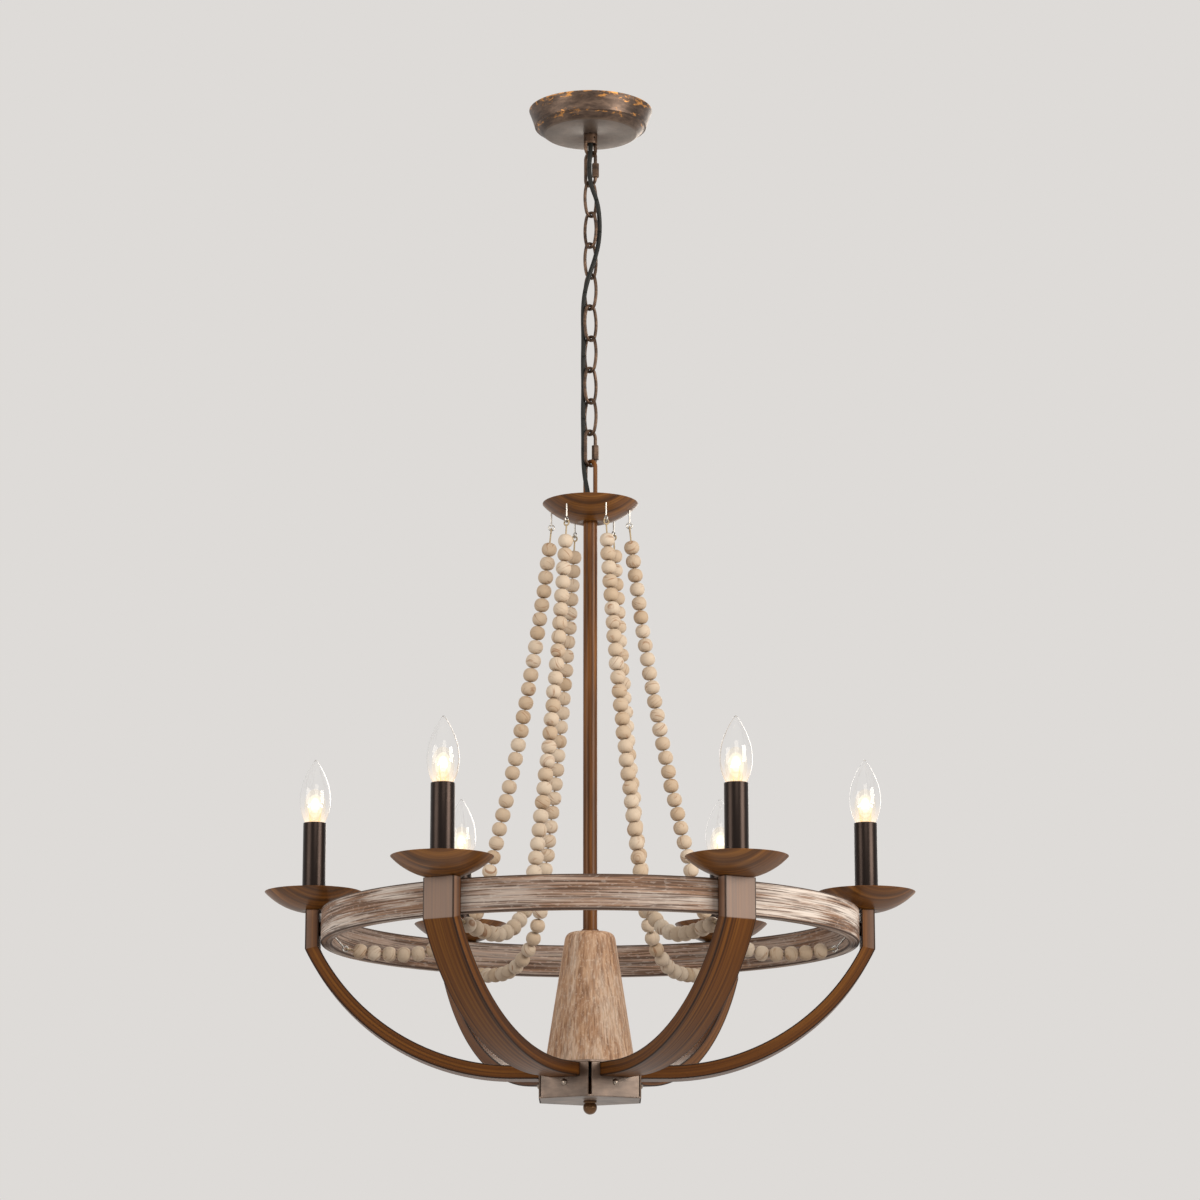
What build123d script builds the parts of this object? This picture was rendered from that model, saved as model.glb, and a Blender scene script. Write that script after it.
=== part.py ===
from build123d import *
import math
import os

# A six-armed wooden chandelier, in millimetres. The ceiling is the plane z = 0, the stem hangs
# down the Z axis, and the arms are counted anticlockwise from above, starting on +X.

# What repeats
arm_count = 6
link_count = 8
nut_sides = 6

# Clearances
slip_gap = 0.2
thread_gap = 0.05
wire_rest_gap = 0.3

# Ceiling fixing
strap_length = 116.0
strap_width = 22.0
strap_thickness = 2.0
strap_middle = 46.0
strap_drop = 16.0
slot_spacing = 88.9
slot_length = 12.0
slot_width = 5.0
nipple_r = 5.0
nipple_bore_r = 3.8
nipple_stand = 7.0
nipple_grip = 5.0
nut_flats = 16.0
nut_height = 4.0
lead_r = 1.1
lead_bend_r = 3.5
lead_reach = 30.0

# Canopy cup and its loop
canopy_rim_r = 72.0
canopy_step_r = 66.0
canopy_base_r = 55.0
canopy_height = 29.0
canopy_step_depth = 21.0
canopy_step_in = 1.6
canopy_wall = 1.2
canopy_side_bulge = 1.6
canopy_edge_bulge = 2.2
loop_stem_r = 8.0
loop_stem_length = 12.0
loop_stem_bore_r = 6.3
bail_wire = 4.0
bail_half_width = 8.0
bail_leg = 6.0
wire_root = 2.0
set_screw_r = 1.3
set_screw_depth = 1.6
set_screw_drop = 5.5
set_screw_deg = -58.0

# Quick links and chain
quick_wire = 4.0
quick_bend_r = 8.0
quick_straight = 25.0
quick_gap_low = -11.0
quick_gap_high = -5.0
quick_nut_flats = 7.4
quick_nut_length = 16.5
quick_nut_overlap = 1.0
link_wire = 3.8
link_length = 45.4
link_width = 22.0
link_end_r = 7.0
chain_planes = (45.0, -45.0)

# Supply cord
cord_d = 5.2
cord_round_share = 0.45
cord_head = [
    (0.0, 0.0, 9.0),
    (0.0, 0.3, -2.9),
    (0.0, -3.2, -13.2),
]
cord_chain = [
    (-0.2, -8.0, 0.0330),
    (-2.0, -8.4, 0.0867),
    (0.3, -9.3, 0.1393),
    (8.4, -4.6, 0.1892),
    (11.0, 0.8, 0.2522),
    (9.8, -1.8, 0.3153),
    (5.0, -7.4, 0.3731),
    (-2.0, -8.8, 0.4283),
    (-7.4, -4.4, 0.4808),
    (-8.8, 0.8, 0.5412),
    (-8.0, 1.8, 0.6148),
    (-8.6, -0.6, 0.6936),
    (-8.0, 0.4, 0.7725),
    (-8.6, -0.4, 0.8513),
    (-8.0, 0.8, 0.9249),
    (-8.2, 0.2, 0.9879),
]
cord_foot = [
    (-6.8, -0.6, 49.2),
    (-2.2, -0.2, 27.2),
    (0.0, 0.2, 7.2),
    (0.0, 0.0, -10.8),
]

# Hanger loop, dishes and stem
hanger_wire = 5.0
hanger_half_width = 8.0
hanger_leg = 58.6
hanger_foot_r = 13.0
hanger_foot_thickness = 4.0
hanger_spigot_length = 14.0
cord_bore_gap = 0.5
top_dish_r = 55.0
top_dish_depth = 22.5
drip_dish_r = 55.0
drip_dish_depth = 22.0
dish_flat_r = 16.0
dish_wall = 1.8
stem_r = 8.0
stem_wall = 1.5
stem_visible = 467.0
stem_window_r = 3.4
collar_r = 9.5
collar_height = 3.0

# Cone, hub and finial
cone_top_r = 27.0
cone_base_r = 50.0
cone_height = 147.0
cone_shoulder_r = 8.0
lid_thickness = 2.5
tray_height = 37.5
tray_wall = 2.0
corner_slit = 4.5
finial_collar_r = 7.4
finial_collar_height = 2.5
finial_ball_r = 7.7
finial_neck = 4.9
finial_stud_length = 14.0
junction_r = 25.0
junction_height = 11.0
junction_pocket = 6.0

# Arms
arm_width = 38.0
arm_depth = 15.0
arm_wall = 1.5
arm_end_gap = 5.1
arm_grip = 18.3
arm_run_out = 29.3
arm_bend_r = 257.4
arm_bend_deg = 63.8
arm_block_height = 44.0
arm_boss_r = 8.0
arm_boss_height = 2.0
arm_tab_width = 18.0
arm_tab_height = 12.0
arm_tab_thickness = 2.5
arm_wire_r = 1.8
stem_lead_r = 2.4

# Hoop and fasteners
hoop_thickness = 12.0
hoop_height = 37.0
hoop_drop = 1.0
bolt_r = 2.5
bolt_head_r = 4.6
bolt_head_height = 3.0
bolt_stand = 2.0
head_seat_gap = 0.06
screw_r = 2.0
screw_head_r = 3.4
screw_head_height = 2.2
screw_stand = 2.0

# Candles
sleeve_r = 13.0
sleeve_wall = 1.0
sleeve_height = 98.0
holder_flange_height = 3.0
holder_nipple_r = 4.0
holder_bore_r = 2.6
holder_post_r = 5.5
holder_nipple_length = 6.0
socket_wall = 2.0
socket_depth = 24.0
socket_floor = 2.0
socket_below_top = 6.0
base_r = 6.9
base_stand = 1.7
base_tip_r = 3.0
base_tip_height = 2.5
glass_wall = 0.8
glass_shoulder_r = 11.0
glass_low_r = 15.2
glass_belly_r = 17.5
glass_high_r = 15.8
glass_taper_r = 10.5
glass_point_r = 4.5
glass_shoulder_rise = 5.0
glass_low_rise = 15.0
glass_belly_rise = 29.0
glass_high_rise = 45.0
glass_taper_rise = 60.0
glass_point_rise = 71.0
glass_tip_rise = 76.5

# Bead strands
dish_turn = -6.5
hook_circle_r = 45.0
hook_wire_r = 0.9
hook_hole_r = 1.6
hook_drop = 20.0
hook_eye_r = 3.0
hook_bend_r = 3.0
hook_stand = 2.0
eye_rise = 9.0
eye_fall = 13.0
eye_reach = 16.5
eye_grip = 6.0
eye_straight = 3.0
eye_bend_r = 3.0
strand_sag_r = 2900.0
strand_bend_r = 88.0
strand_tail = 66.0
strand_tail_rise = 6.0
bead_r = 8.75
bead_half_length = 7.75
bead_bore_gap = 0.5
bead_gap = 0.5
string_r = 0.9
string_shown_top = 11.0
string_shown_end = 2.0


def ring_spin(shape, index):
    """One of the pieces that go round the stem, made on +X and turned to its arm."""
    return Rot(0, 0, 360.0 / arm_count * index) * shape


def bowed(start, end, bulge):
    """The middle of an arc from start to end that stands out to the right of its chord."""
    run = (end[0] - start[0], end[1] - start[1])
    length = math.hypot(*run)
    middle = ((start[0] + end[0]) / 2, (start[1] + end[1]) / 2)
    return (middle[0] - run[1] / length * bulge, middle[1] + run[0] / length * bulge)


def outline(start, *moves):
    """A closed face in the XZ plane. A move is an end point, or a middle and an end for an arc."""
    edges = []
    here = start
    for move in (*moves, start):
        if isinstance(move[0], tuple):
            middle, end = move
            edges.append(ThreePointArc(flat(here), flat(middle), flat(end)))
        else:
            end = move
            if math.dist(here, end) < 1e-6:
                continue
            edges.append(Line(flat(here), flat(end)))
        here = end
    return make_face(edges)


def flat(point):
    """A point (r, z) of the XZ plane in space."""
    return (point[0], 0, point[1])


def turned(start, *moves):
    """An outline turned about the Z axis."""
    return revolve(outline(start, *moves), Axis.Z)


def upright(radius, low, high, x=0.0):
    """A cylinder standing at x on the X axis, between two heights."""
    return Pos(x, 0, (low + high) / 2) * Cylinder(radius, high - low)


def tube(outer, inner, low, high):
    """A pipe about the Z axis."""
    return upright(outer, low, high) - upright(inner, low, high)


def along_x(radius, start, end, z):
    """A cylinder lying along X."""
    return Pos((start + end) / 2, 0, z) * Rot(0, 90, 0) * Cylinder(radius, end - start)


def rod(path, radius):
    """A round wire along a path."""
    return sweep(Plane(origin=path @ 0, z_dir=path % 0) * Circle(radius), path=path)


def bent(centre, start, axis, degrees, radius):
    """A round wire along an arc about an axis through centre."""
    out = Vector(*start) - Vector(*centre)
    section = Plane(origin=start, z_dir=Vector(*axis).cross(out)) * Circle(radius)
    return revolve(section, Axis(centre, axis), degrees)


def prism(apothem, sides, low, high):
    """A regular prism about the Z axis with the middle of one face on +X."""
    face = RegularPolygon(apothem, sides, major_radius=False, rotation=180.0 / sides)
    return Pos(0, 0, low) * extrude(face, high - low)


def slab(near, far, width, low, high):
    """A block across the X axis between two distances from the stem."""
    return Pos((near + far) / 2, 0, (low + high) / 2) * Box(far - near, width, high - low)


def group(shapes):
    """Separate solids that share one name."""
    return Compound([solid for shape in shapes for solid in shape.solids()])


def round_the_stem(shape):
    """One copy of a shape at each arm."""
    return group(ring_spin(shape, index) for index in range(arm_count))


def chain_plane(place):
    """The turn of a link about the Z axis, counted down from the canopy loop."""
    return chain_planes[place % len(chain_planes)]


# Heights down the hanging line
canopy_base_z = -canopy_height
loop_stem_z = canopy_base_z - loop_stem_length
bail_low_z = loop_stem_z - bail_leg - bail_half_width
quick_length = quick_straight + 2 * quick_bend_r
upper_quick_z = bail_low_z + (bail_wire + quick_wire) / 2 + wire_rest_gap
link_line = link_length - link_wire
first_link_z = upper_quick_z - quick_length + (quick_wire + link_wire) / 2 + wire_rest_gap
link_pitch = link_line - link_wire - wire_rest_gap
last_link_z = first_link_z - (link_count - 1) * link_pitch
lower_quick_z = last_link_z - link_line + (link_wire + quick_wire) / 2 + wire_rest_gap
hanger_z = lower_quick_z - quick_length + (quick_wire + hanger_wire) / 2 + wire_rest_gap
foot_top_z = hanger_z - hanger_half_width - hanger_leg
dish_floor_z = foot_top_z - hanger_foot_thickness
top_dish_z = dish_floor_z - dish_wall
collar_z = top_dish_z - stem_visible
cone_z = collar_z - collar_height
lid_z = cone_z - cone_height
tray_top_z = lid_z - lid_thickness
tray_z = tray_top_z - tray_height
tray_floor_z = tray_z + tray_wall
strap_floor_z = -strap_drop - strap_thickness
nipple_top_z = -strap_drop + nipple_stand
nipple_low_z = canopy_base_z - nipple_grip

# The cord's corner points: the head is measured from the canopy's base, the run beside the chain
# in shares of the drop from the canopy loop to the hanger loop, and the foot from its plate
cord_route = [(x, y, canopy_base_z + rise) for x, y, rise in cord_head]
cord_route += [(x, y, loop_stem_z + share * (hanger_z - loop_stem_z)) for x, y, share in cord_chain]
cord_route += [(x, y, foot_top_z + rise) for x, y, rise in cord_foot]

# Places round the stem
stem_bore_r = stem_r - stem_wall
arm_inner_r = arm_width / 2 / math.tan(math.pi / arm_count) + arm_end_gap
hub_apothem = arm_inner_r + arm_grip
arm_arc_r = hub_apothem + arm_run_out
arm_high_z = tray_top_z
arm_low_z = arm_high_z - arm_depth
arm_middle_z = (arm_low_z + arm_high_z) / 2
arm_arc_z = arm_low_z + arm_bend_r
arm_outer_r = arm_arc_r + arm_bend_r * math.sin(math.radians(arm_bend_deg))
arm_face_r = arm_outer_r - arm_depth
arm_mitre_z = arm_arc_z - arm_bend_r * math.cos(math.radians(arm_bend_deg))
arm_top_z = arm_mitre_z + arm_block_height
candle_r = arm_outer_r - arm_depth / 2
hoop_r = arm_face_r - arm_boss_height
hoop_inner_r = hoop_r - hoop_thickness
hoop_top_z = arm_top_z - hoop_drop
hoop_low_z = hoop_top_z - hoop_height
bolt_z = (hoop_top_z + hoop_low_z) / 2
eye_z = hoop_low_z + eye_rise
screw_z = arm_low_z - arm_tab_height / 2
drip_floor_z = arm_top_z + dish_wall
sleeve_top_z = drip_floor_z + sleeve_height
socket_top_z = sleeve_top_z - socket_below_top
socket_low_z = socket_top_z - socket_depth - socket_floor
base_seat_z = socket_top_z - socket_depth + slip_gap
base_top_z = socket_top_z + base_stand


def dish_curve(rim_r, depth):
    """The centre height above the flat, and the radius, of a dish's bowl."""
    centre = (rim_r**2 + depth**2 - dish_flat_r**2) / (2 * depth)
    return centre, math.hypot(centre, dish_flat_r)


def dish_height(rim_r, depth, r, inside):
    """The height of a dish's wall at r, above its underside."""
    centre, radius = dish_curve(rim_r, depth)
    return centre - math.sqrt((radius - (dish_wall if inside else 0)) ** 2 - r**2)


def dish(rim_r, depth, bore_r):
    """A spun bowl with a flat seat, standing on z = 0."""
    centre, radius = dish_curve(rim_r, depth)
    inner = radius - dish_wall
    floor_r = math.sqrt(inner**2 - (centre - dish_wall) ** 2)
    lip_r = math.sqrt(inner**2 - (centre - depth) ** 2)
    mid_r = (dish_flat_r + rim_r) / 2
    outer_mid = (mid_r, dish_height(rim_r, depth, mid_r, False))
    inner_mid = (mid_r, dish_height(rim_r, depth, mid_r, True))
    return turned(
        (bore_r, 0),
        (dish_flat_r, 0),
        (outer_mid, (rim_r, depth)),
        (lip_r, depth),
        (inner_mid, (floor_r, dish_wall)),
        (bore_r, dish_wall),
    )


# The ceiling fixing
def mounting_strap():
    """A hat-shaped steel strip with a slot at each end and a hole for the nipple."""
    end = strap_length / 2
    inner = strap_middle / 2
    outer = inner + strap_thickness
    under = -strap_thickness
    strip = Polyline(
        (-end, 0), (-inner, 0), (-inner, -strap_drop), (inner, -strap_drop), (inner, 0), (end, 0),
        (end, under), (outer, under), (outer, strap_floor_z), (-outer, strap_floor_z),
        (-outer, under), (-end, under), (-end, 0),
    )
    body = extrude(Plane.YZ * make_face(strip), strap_width / 2, both=True)
    body -= upright(nipple_r + thread_gap, strap_floor_z, -strap_drop)
    slot = extrude(Rot(0, 0, 90) * SlotOverall(slot_length, slot_width), strap_thickness, both=True)
    for side in (-1, 1):
        body -= Pos(0, side * slot_spacing / 2, 0) * slot
    return body


def strap_nipple():
    """The hollow threaded pipe that hangs the canopy loop from the strap."""
    return tube(nipple_r, nipple_bore_r, nipple_low_z, nipple_top_z)


def nipple_nuts():
    """Two nuts that lock the nipple to the strap."""
    nuts = []
    for low in (-strap_drop, strap_floor_z - nut_height):
        nut = prism(nut_flats / 2, nut_sides, low, low + nut_height)
        nuts.append(nut - upright(nipple_r + thread_gap, low, low + nut_height))
    return group(nuts)


def ceiling_leads():
    """The cord's two conductors, bent over the top of the nipple."""
    leads = []
    for side in (-1, 1):
        start = side * (lead_r + slip_gap)
        turn = start + side * lead_bend_r
        level = nipple_top_z + lead_bend_r
        lead = upright(lead_r, cord_route[0][2] + slip_gap, nipple_top_z, start)
        lead += bent((turn, 0, nipple_top_z), (start, 0, nipple_top_z), (0, side, 0), 90, lead_r)
        lead += along_x(lead_r, min(turn, side * lead_reach), max(turn, side * lead_reach), level)
        leads.append(lead)
    return group(leads)


def canopy_cup():
    """The spun cup against the ceiling, with a step round its side."""
    step_in_r = canopy_step_r - canopy_step_in
    hole_r = nipple_r + slip_gap
    rim = (canopy_rim_r, 0)
    step = (canopy_step_r, -canopy_step_depth)
    ledge = (step_in_r, -canopy_step_depth)
    base = (canopy_base_r, canopy_base_z)
    floor = (canopy_base_r - canopy_wall / 2, canopy_base_z + canopy_wall)
    inner_step = (step_in_r - canopy_wall, -canopy_step_depth)
    inner_rim = (canopy_rim_r - canopy_wall, 0)
    return turned(
        (hole_r, canopy_base_z),
        base,
        (bowed(base, ledge, -canopy_edge_bulge), ledge),
        step,
        (bowed(step, rim, -canopy_side_bulge), rim),
        inner_rim,
        (bowed(inner_rim, inner_step, canopy_side_bulge), inner_step),
        (bowed(inner_step, floor, canopy_edge_bulge), floor),
        (hole_r, canopy_base_z + canopy_wall),
    )


def canopy_loop():
    """The short stem below the canopy and the bail that the chain hangs from."""
    bore_z = nipple_low_z - slip_gap
    body = upright(loop_stem_r, loop_stem_z, canopy_base_z)
    body -= upright(nipple_r + thread_gap, bore_z, canopy_base_z)
    body -= upright(loop_stem_bore_r, loop_stem_z, bore_z)
    bend_z = loop_stem_z - bail_leg
    wire = bail_wire / 2
    bail = bent((0, 0, bend_z), (bail_half_width, 0, bend_z), (0, 1, 0), 180, wire)
    for side in (-1, 1):
        bail += upright(wire, bend_z, loop_stem_z + wire_root, side * bail_half_width)
    hole_z = canopy_base_z - set_screw_drop
    hole = along_x(set_screw_r, loop_stem_r - set_screw_depth, loop_stem_r + set_screw_depth, hole_z)
    return body + Rot(0, 0, chain_plane(0)) * bail - Rot(0, 0, set_screw_deg) * hole


# The chain
def quick_link(top_z, plane_deg):
    """A long link with a gap in one leg, which its sleeve nut closes."""
    wire = quick_wire / 2
    middle = top_z - quick_length / 2
    high = middle + quick_straight / 2
    low = middle - quick_straight / 2
    body = bent((0, 0, high), (quick_bend_r, 0, high), (0, -1, 0), 180, wire)
    body += bent((0, 0, low), (quick_bend_r, 0, low), (0, 1, 0), 180, wire)
    body += upright(wire, low, high, -quick_bend_r)
    body += upright(wire, middle + quick_gap_high, high, quick_bend_r)
    body += upright(wire, low, middle + quick_gap_low, quick_bend_r)
    return Rot(0, 0, plane_deg) * body


def sleeve_nut(top_z, plane_deg):
    """The hexagonal sleeve screwed down over a quick link's gap."""
    low = top_z - quick_length / 2 + quick_gap_low - quick_nut_overlap
    high = low + quick_nut_length
    nut = prism(quick_nut_flats / 2, nut_sides, low, high) - upright(quick_wire / 2 + slip_gap, low, high)
    return Rot(0, 0, plane_deg) * Pos(quick_bend_r, 0, 0) * nut


def oval_link(top_z, plane_deg):
    """A welded oval link of two end arcs and two long side arcs."""
    wire = link_wire / 2
    half_width = (link_width - link_wire) / 2
    end = link_line / 2 - link_end_r
    side_r = (half_width**2 + end**2 - link_end_r**2) / (2 * (half_width - link_end_r))
    side_x = half_width - side_r
    lean = math.asin(end / (side_r - link_end_r))
    foot = (side_x + side_r * math.cos(lean), 0, -side_r * math.sin(lean))
    head = (foot[0], 0, -foot[2])
    side = bent((side_x, 0, 0), foot, (0, -1, 0), 2 * math.degrees(lean), wire)
    top = bent((0, 0, end), head, (0, -1, 0), 180 - 2 * math.degrees(lean), wire)
    half = side + top
    return Pos(0, 0, top_z - link_line / 2) * Rot(0, 0, plane_deg) * (half + Rot(0, 180, 0) * half)


def cord_path():
    """The cord's route with each corner rounded as far as its two runs allow."""
    points = [Vector(*point) for point in cord_route]
    radii = []
    for before, corner, after in zip(points, points[1:], points[2:]):
        into, out = corner - before, after - corner
        turn = math.radians(into.get_angle(out))
        radii.append(cord_round_share * min(into.length, out.length) / math.tan(turn / 2))
    return FilletPolyline(*points, radius=radii), radii


# The stem line
def hanger_loop():
    """The upright loop on its foot plate, bored for the cord, with a spigot into the stem."""
    wire = hanger_wire / 2
    bend_z = hanger_z - hanger_half_width
    spigot_z = dish_floor_z - hanger_spigot_length
    loop = bent((0, 0, bend_z), (hanger_half_width, 0, bend_z), (0, -1, 0), 180, wire)
    for side in (-1, 1):
        loop += upright(wire, foot_top_z - wire_root, bend_z, side * hanger_half_width)
    body = upright(hanger_foot_r, dish_floor_z, foot_top_z) + Rot(0, 0, chain_plane(link_count + 3)) * loop
    body += upright(stem_bore_r - thread_gap, spigot_z, dish_floor_z)
    return body - upright(cord_d / 2 + cord_bore_gap, spigot_z, foot_top_z)


def top_dish():
    """The bowl on top of the stem, with a hole for each strand's hook."""
    bowl = Pos(0, 0, top_dish_z) * dish(top_dish_r, top_dish_depth, stem_bore_r + slip_gap)
    hole = upright(hook_hole_r, top_dish_z, top_dish_z + top_dish_depth, hook_circle_r)
    hole = Rot(0, 0, dish_turn) * hole
    for index in range(arm_count):
        bowl -= ring_spin(hole, index)
    return bowl


def corner_spin(shape):
    """A shape made on +X, turned to the hub corner after the first arm."""
    return Rot(0, 0, 180.0 / arm_count) * shape


def stem_tube():
    """The tube from the top dish down to the hub, with a side hole for the cord's conductors."""
    window = along_x(stem_window_r, 0, 2 * stem_r, arm_middle_z)
    return tube(stem_r, stem_bore_r, tray_floor_z, top_dish_z) - corner_spin(window)


def stem_collar():
    """The ring fixed to the stem above the cone."""
    return tube(collar_r, stem_r + thread_gap, cone_z, collar_z)


def cone():
    """The turned wooden cone, rounded at its shoulder."""
    bore = stem_r + slip_gap
    half = Polyline(
        (bore, lid_z), (cone_base_r, lid_z), (cone_top_r, cone_z), (bore, cone_z), (bore, lid_z)
    )
    face = make_face(half)
    shoulder = face.vertices().filter_by(lambda v: math.dist((v.X, v.Y), (cone_top_r, cone_z)) < 0.01)
    return revolve(Plane.XZ * fillet(shoulder, cone_shoulder_r), Axis.Z)


def hub_lid():
    """The flat plate under the cone that closes the hub."""
    plate = prism(hub_apothem, arm_count, tray_top_z, lid_z)
    return plate - upright(stem_r + slip_gap, tray_top_z, lid_z)


def hub_tray():
    """The folded tray with open corners, notched where the arms come in."""
    slit_share = corner_slit / (2 * math.cos(math.pi / arm_count))
    face_width = 2 * hub_apothem * math.tan(math.pi / arm_count) - 2 * slit_share
    inner = hub_apothem - tray_wall
    over = hub_apothem + tray_wall
    flap = slab(inner, hub_apothem, face_width, tray_z, tray_top_z)
    flap -= slab(inner, over, arm_width + 2 * slip_gap, arm_low_z, tray_top_z)
    flap -= along_x(screw_r + slip_gap, inner, over, screw_z)
    tray = prism(hub_apothem, arm_count, tray_z, tray_floor_z)
    for index in range(arm_count):
        tray += ring_spin(flap, index)
    return tray - upright(stem_bore_r + slip_gap, tray_z, tray_floor_z)


def finial():
    """The ball and collar under the hub, on a stud that screws into the stem."""
    collar_low = tray_z - finial_collar_height
    body = upright(stem_bore_r - thread_gap, tray_z, tray_floor_z + finial_stud_length)
    body += upright(finial_collar_r, collar_low, tray_z)
    return body + Pos(0, 0, collar_low - finial_neck) * Sphere(finial_ball_r)


def wire_junction():
    """The round terminal block on the stem where the arm wires meet the cord."""
    low = arm_middle_z - junction_height / 2
    block = tube(junction_r, stem_r + thread_gap, low, low + junction_height)
    return block - corner_spin(along_x(stem_window_r, 0, stem_r + junction_pocket, arm_middle_z))


def lamp_wiring():
    """The conductors down the stem, and a wire through each arm."""
    lead = upright(stem_lead_r, arm_middle_z, cord_route[-1][2] - slip_gap)
    lead += Pos(0, 0, arm_middle_z) * Sphere(stem_lead_r)
    lead += along_x(stem_lead_r, 0, stem_r + junction_pocket - slip_gap, arm_middle_z)
    bend_r = arm_bend_r - arm_depth / 2
    turn = math.asin((candle_r - arm_arc_r) / bend_r)
    knee_z = arm_arc_z - bend_r * math.cos(turn)
    wire = along_x(arm_wire_r, junction_r + slip_gap, arm_arc_r, arm_middle_z)
    centre = (arm_arc_r, 0, arm_arc_z)
    wire += bent(centre, (arm_arc_r, 0, arm_middle_z), (0, -1, 0), math.degrees(turn), arm_wire_r)
    wire += Pos(candle_r, 0, knee_z) * Sphere(arm_wire_r)
    wire += upright(arm_wire_r, knee_z, arm_top_z, candle_r)
    return group([corner_spin(lead)] + [ring_spin(wire, index) for index in range(arm_count)])


# Arms and hoop
def arm():
    """A rectangular tube that leaves the hub level, sweeps up and ends in an upright block."""
    def on_arc(radius, angle):
        return (arm_arc_r + radius * math.sin(angle), arm_arc_z - radius * math.cos(angle))

    def side_face(inset):
        outer, inner = arm_bend_r - inset, arm_bend_r - arm_depth + inset
        back_r, front_r = arm_outer_r - inset, arm_face_r + inset
        back = math.asin((back_r - arm_arc_r) / outer)
        front = math.asin((front_r - arm_arc_r) / inner)
        return outline(
            (arm_inner_r, arm_low_z + inset),
            on_arc(outer, 0),
            (on_arc(outer, back / 2), on_arc(outer, back)),
            (back_r, arm_top_z - inset),
            (front_r, arm_top_z - inset),
            on_arc(inner, front),
            (on_arc(inner, front / 2), on_arc(inner, 0)),
            (arm_inner_r, arm_high_z - inset),
        )

    body = extrude(side_face(0), arm_width / 2, both=True)
    body -= extrude(side_face(arm_wall), arm_width / 2 - arm_wall, both=True)
    tab_face = hub_apothem - tray_wall
    tab_low = arm_low_z - arm_tab_height
    body += slab(tab_face - arm_tab_thickness, tab_face, arm_tab_width, tab_low, arm_low_z)
    body += along_x(arm_boss_r, hoop_r, arm_face_r, bolt_z)
    body -= along_x(bolt_r + thread_gap, hoop_r, arm_face_r + arm_wall, bolt_z)
    body -= along_x(screw_r + thread_gap, tab_face - arm_tab_thickness, tab_face, screw_z)
    return body - upright(holder_nipple_r + thread_gap, arm_top_z - arm_wall, arm_top_z, candle_r)


def hoop():
    """The wooden hoop, drilled for the arm bolts and the strand eyes."""
    ring = tube(hoop_r, hoop_inner_r, hoop_low_z, hoop_top_z)
    cuts = along_x(bolt_r + slip_gap, hoop_inner_r - hoop_thickness, hoop_r + hoop_thickness, bolt_z)
    pilot_r = hook_wire_r + thread_gap
    cuts += along_x(pilot_r, hoop_inner_r - hoop_thickness, hoop_inner_r + eye_grip, eye_z)
    for index in range(arm_count):
        ring -= ring_spin(cuts, index)
    return ring


def arm_fasteners():
    """A bolt through the hoop into each arm, and a screw through the hub into each arm's tab."""
    head = hoop_inner_r - head_seat_gap
    tip = arm_face_r + arm_wall + bolt_stand
    bolt = along_x(bolt_r, head, tip, bolt_z)
    bolt += along_x(bolt_head_r, head - bolt_head_height, head, bolt_z)
    tab_back = hub_apothem - tray_wall - arm_tab_thickness
    screw = along_x(screw_r, tab_back - screw_stand, hub_apothem, screw_z)
    screw += along_x(screw_head_r, hub_apothem, hub_apothem + screw_head_height, screw_z)
    return group(ring_spin(piece, index) for piece in (bolt, screw) for index in range(arm_count))


# Candles, made on the Z axis
def candle_sleeve():
    """The black tube round each lamp holder."""
    return tube(sleeve_r, sleeve_r - sleeve_wall, drip_floor_z, sleeve_top_z)


def lamp_holder():
    """A flange in the sleeve's foot, a post with the screw socket, and a hollow threaded tail."""
    tail_z = arm_top_z - arm_wall - holder_nipple_length
    flange_z = drip_floor_z + holder_flange_height
    bore = base_r + slip_gap
    body = upright(sleeve_r - sleeve_wall - slip_gap, drip_floor_z, flange_z)
    body += upright(holder_post_r, flange_z, socket_low_z)
    body += upright(bore + socket_wall, socket_low_z, socket_top_z)
    body -= upright(bore, socket_low_z + socket_floor, socket_top_z)
    body += upright(holder_nipple_r, tail_z, drip_floor_z)
    return body - upright(holder_bore_r, tail_z, drip_floor_z)


def bulb_base():
    """The bulb's screw base with its centre contact."""
    contact = upright(base_tip_r, base_seat_z, base_seat_z + base_tip_height)
    return contact + upright(base_r, base_seat_z + base_tip_height, base_top_z)


def bulb_glass():
    """The hollow candle-shaped envelope, pointed at its tip."""
    heights = [
        (base_r, 0), (glass_shoulder_r, glass_shoulder_rise), (glass_low_r, glass_low_rise),
        (glass_belly_r, glass_belly_rise), (glass_high_r, glass_high_rise),
        (glass_taper_r, glass_taper_rise), (glass_point_r, glass_point_rise),
    ]
    skin = [(r, 0, base_top_z + rise) for r, rise in heights]
    tip = (0, 0, base_top_z + glass_tip_rise)
    lining = [(x - glass_wall, y, z) for x, y, z in skin]
    hollow_tip = (0, 0, tip[2] - 2 * glass_wall)
    wall = [
        Spline(*skin, tip),
        Line(tip, hollow_tip),
        Spline(*lining, hollow_tip),
        Line(lining[0], skin[0]),
    ]
    return revolve(make_face(wall), Axis.Z)


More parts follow.
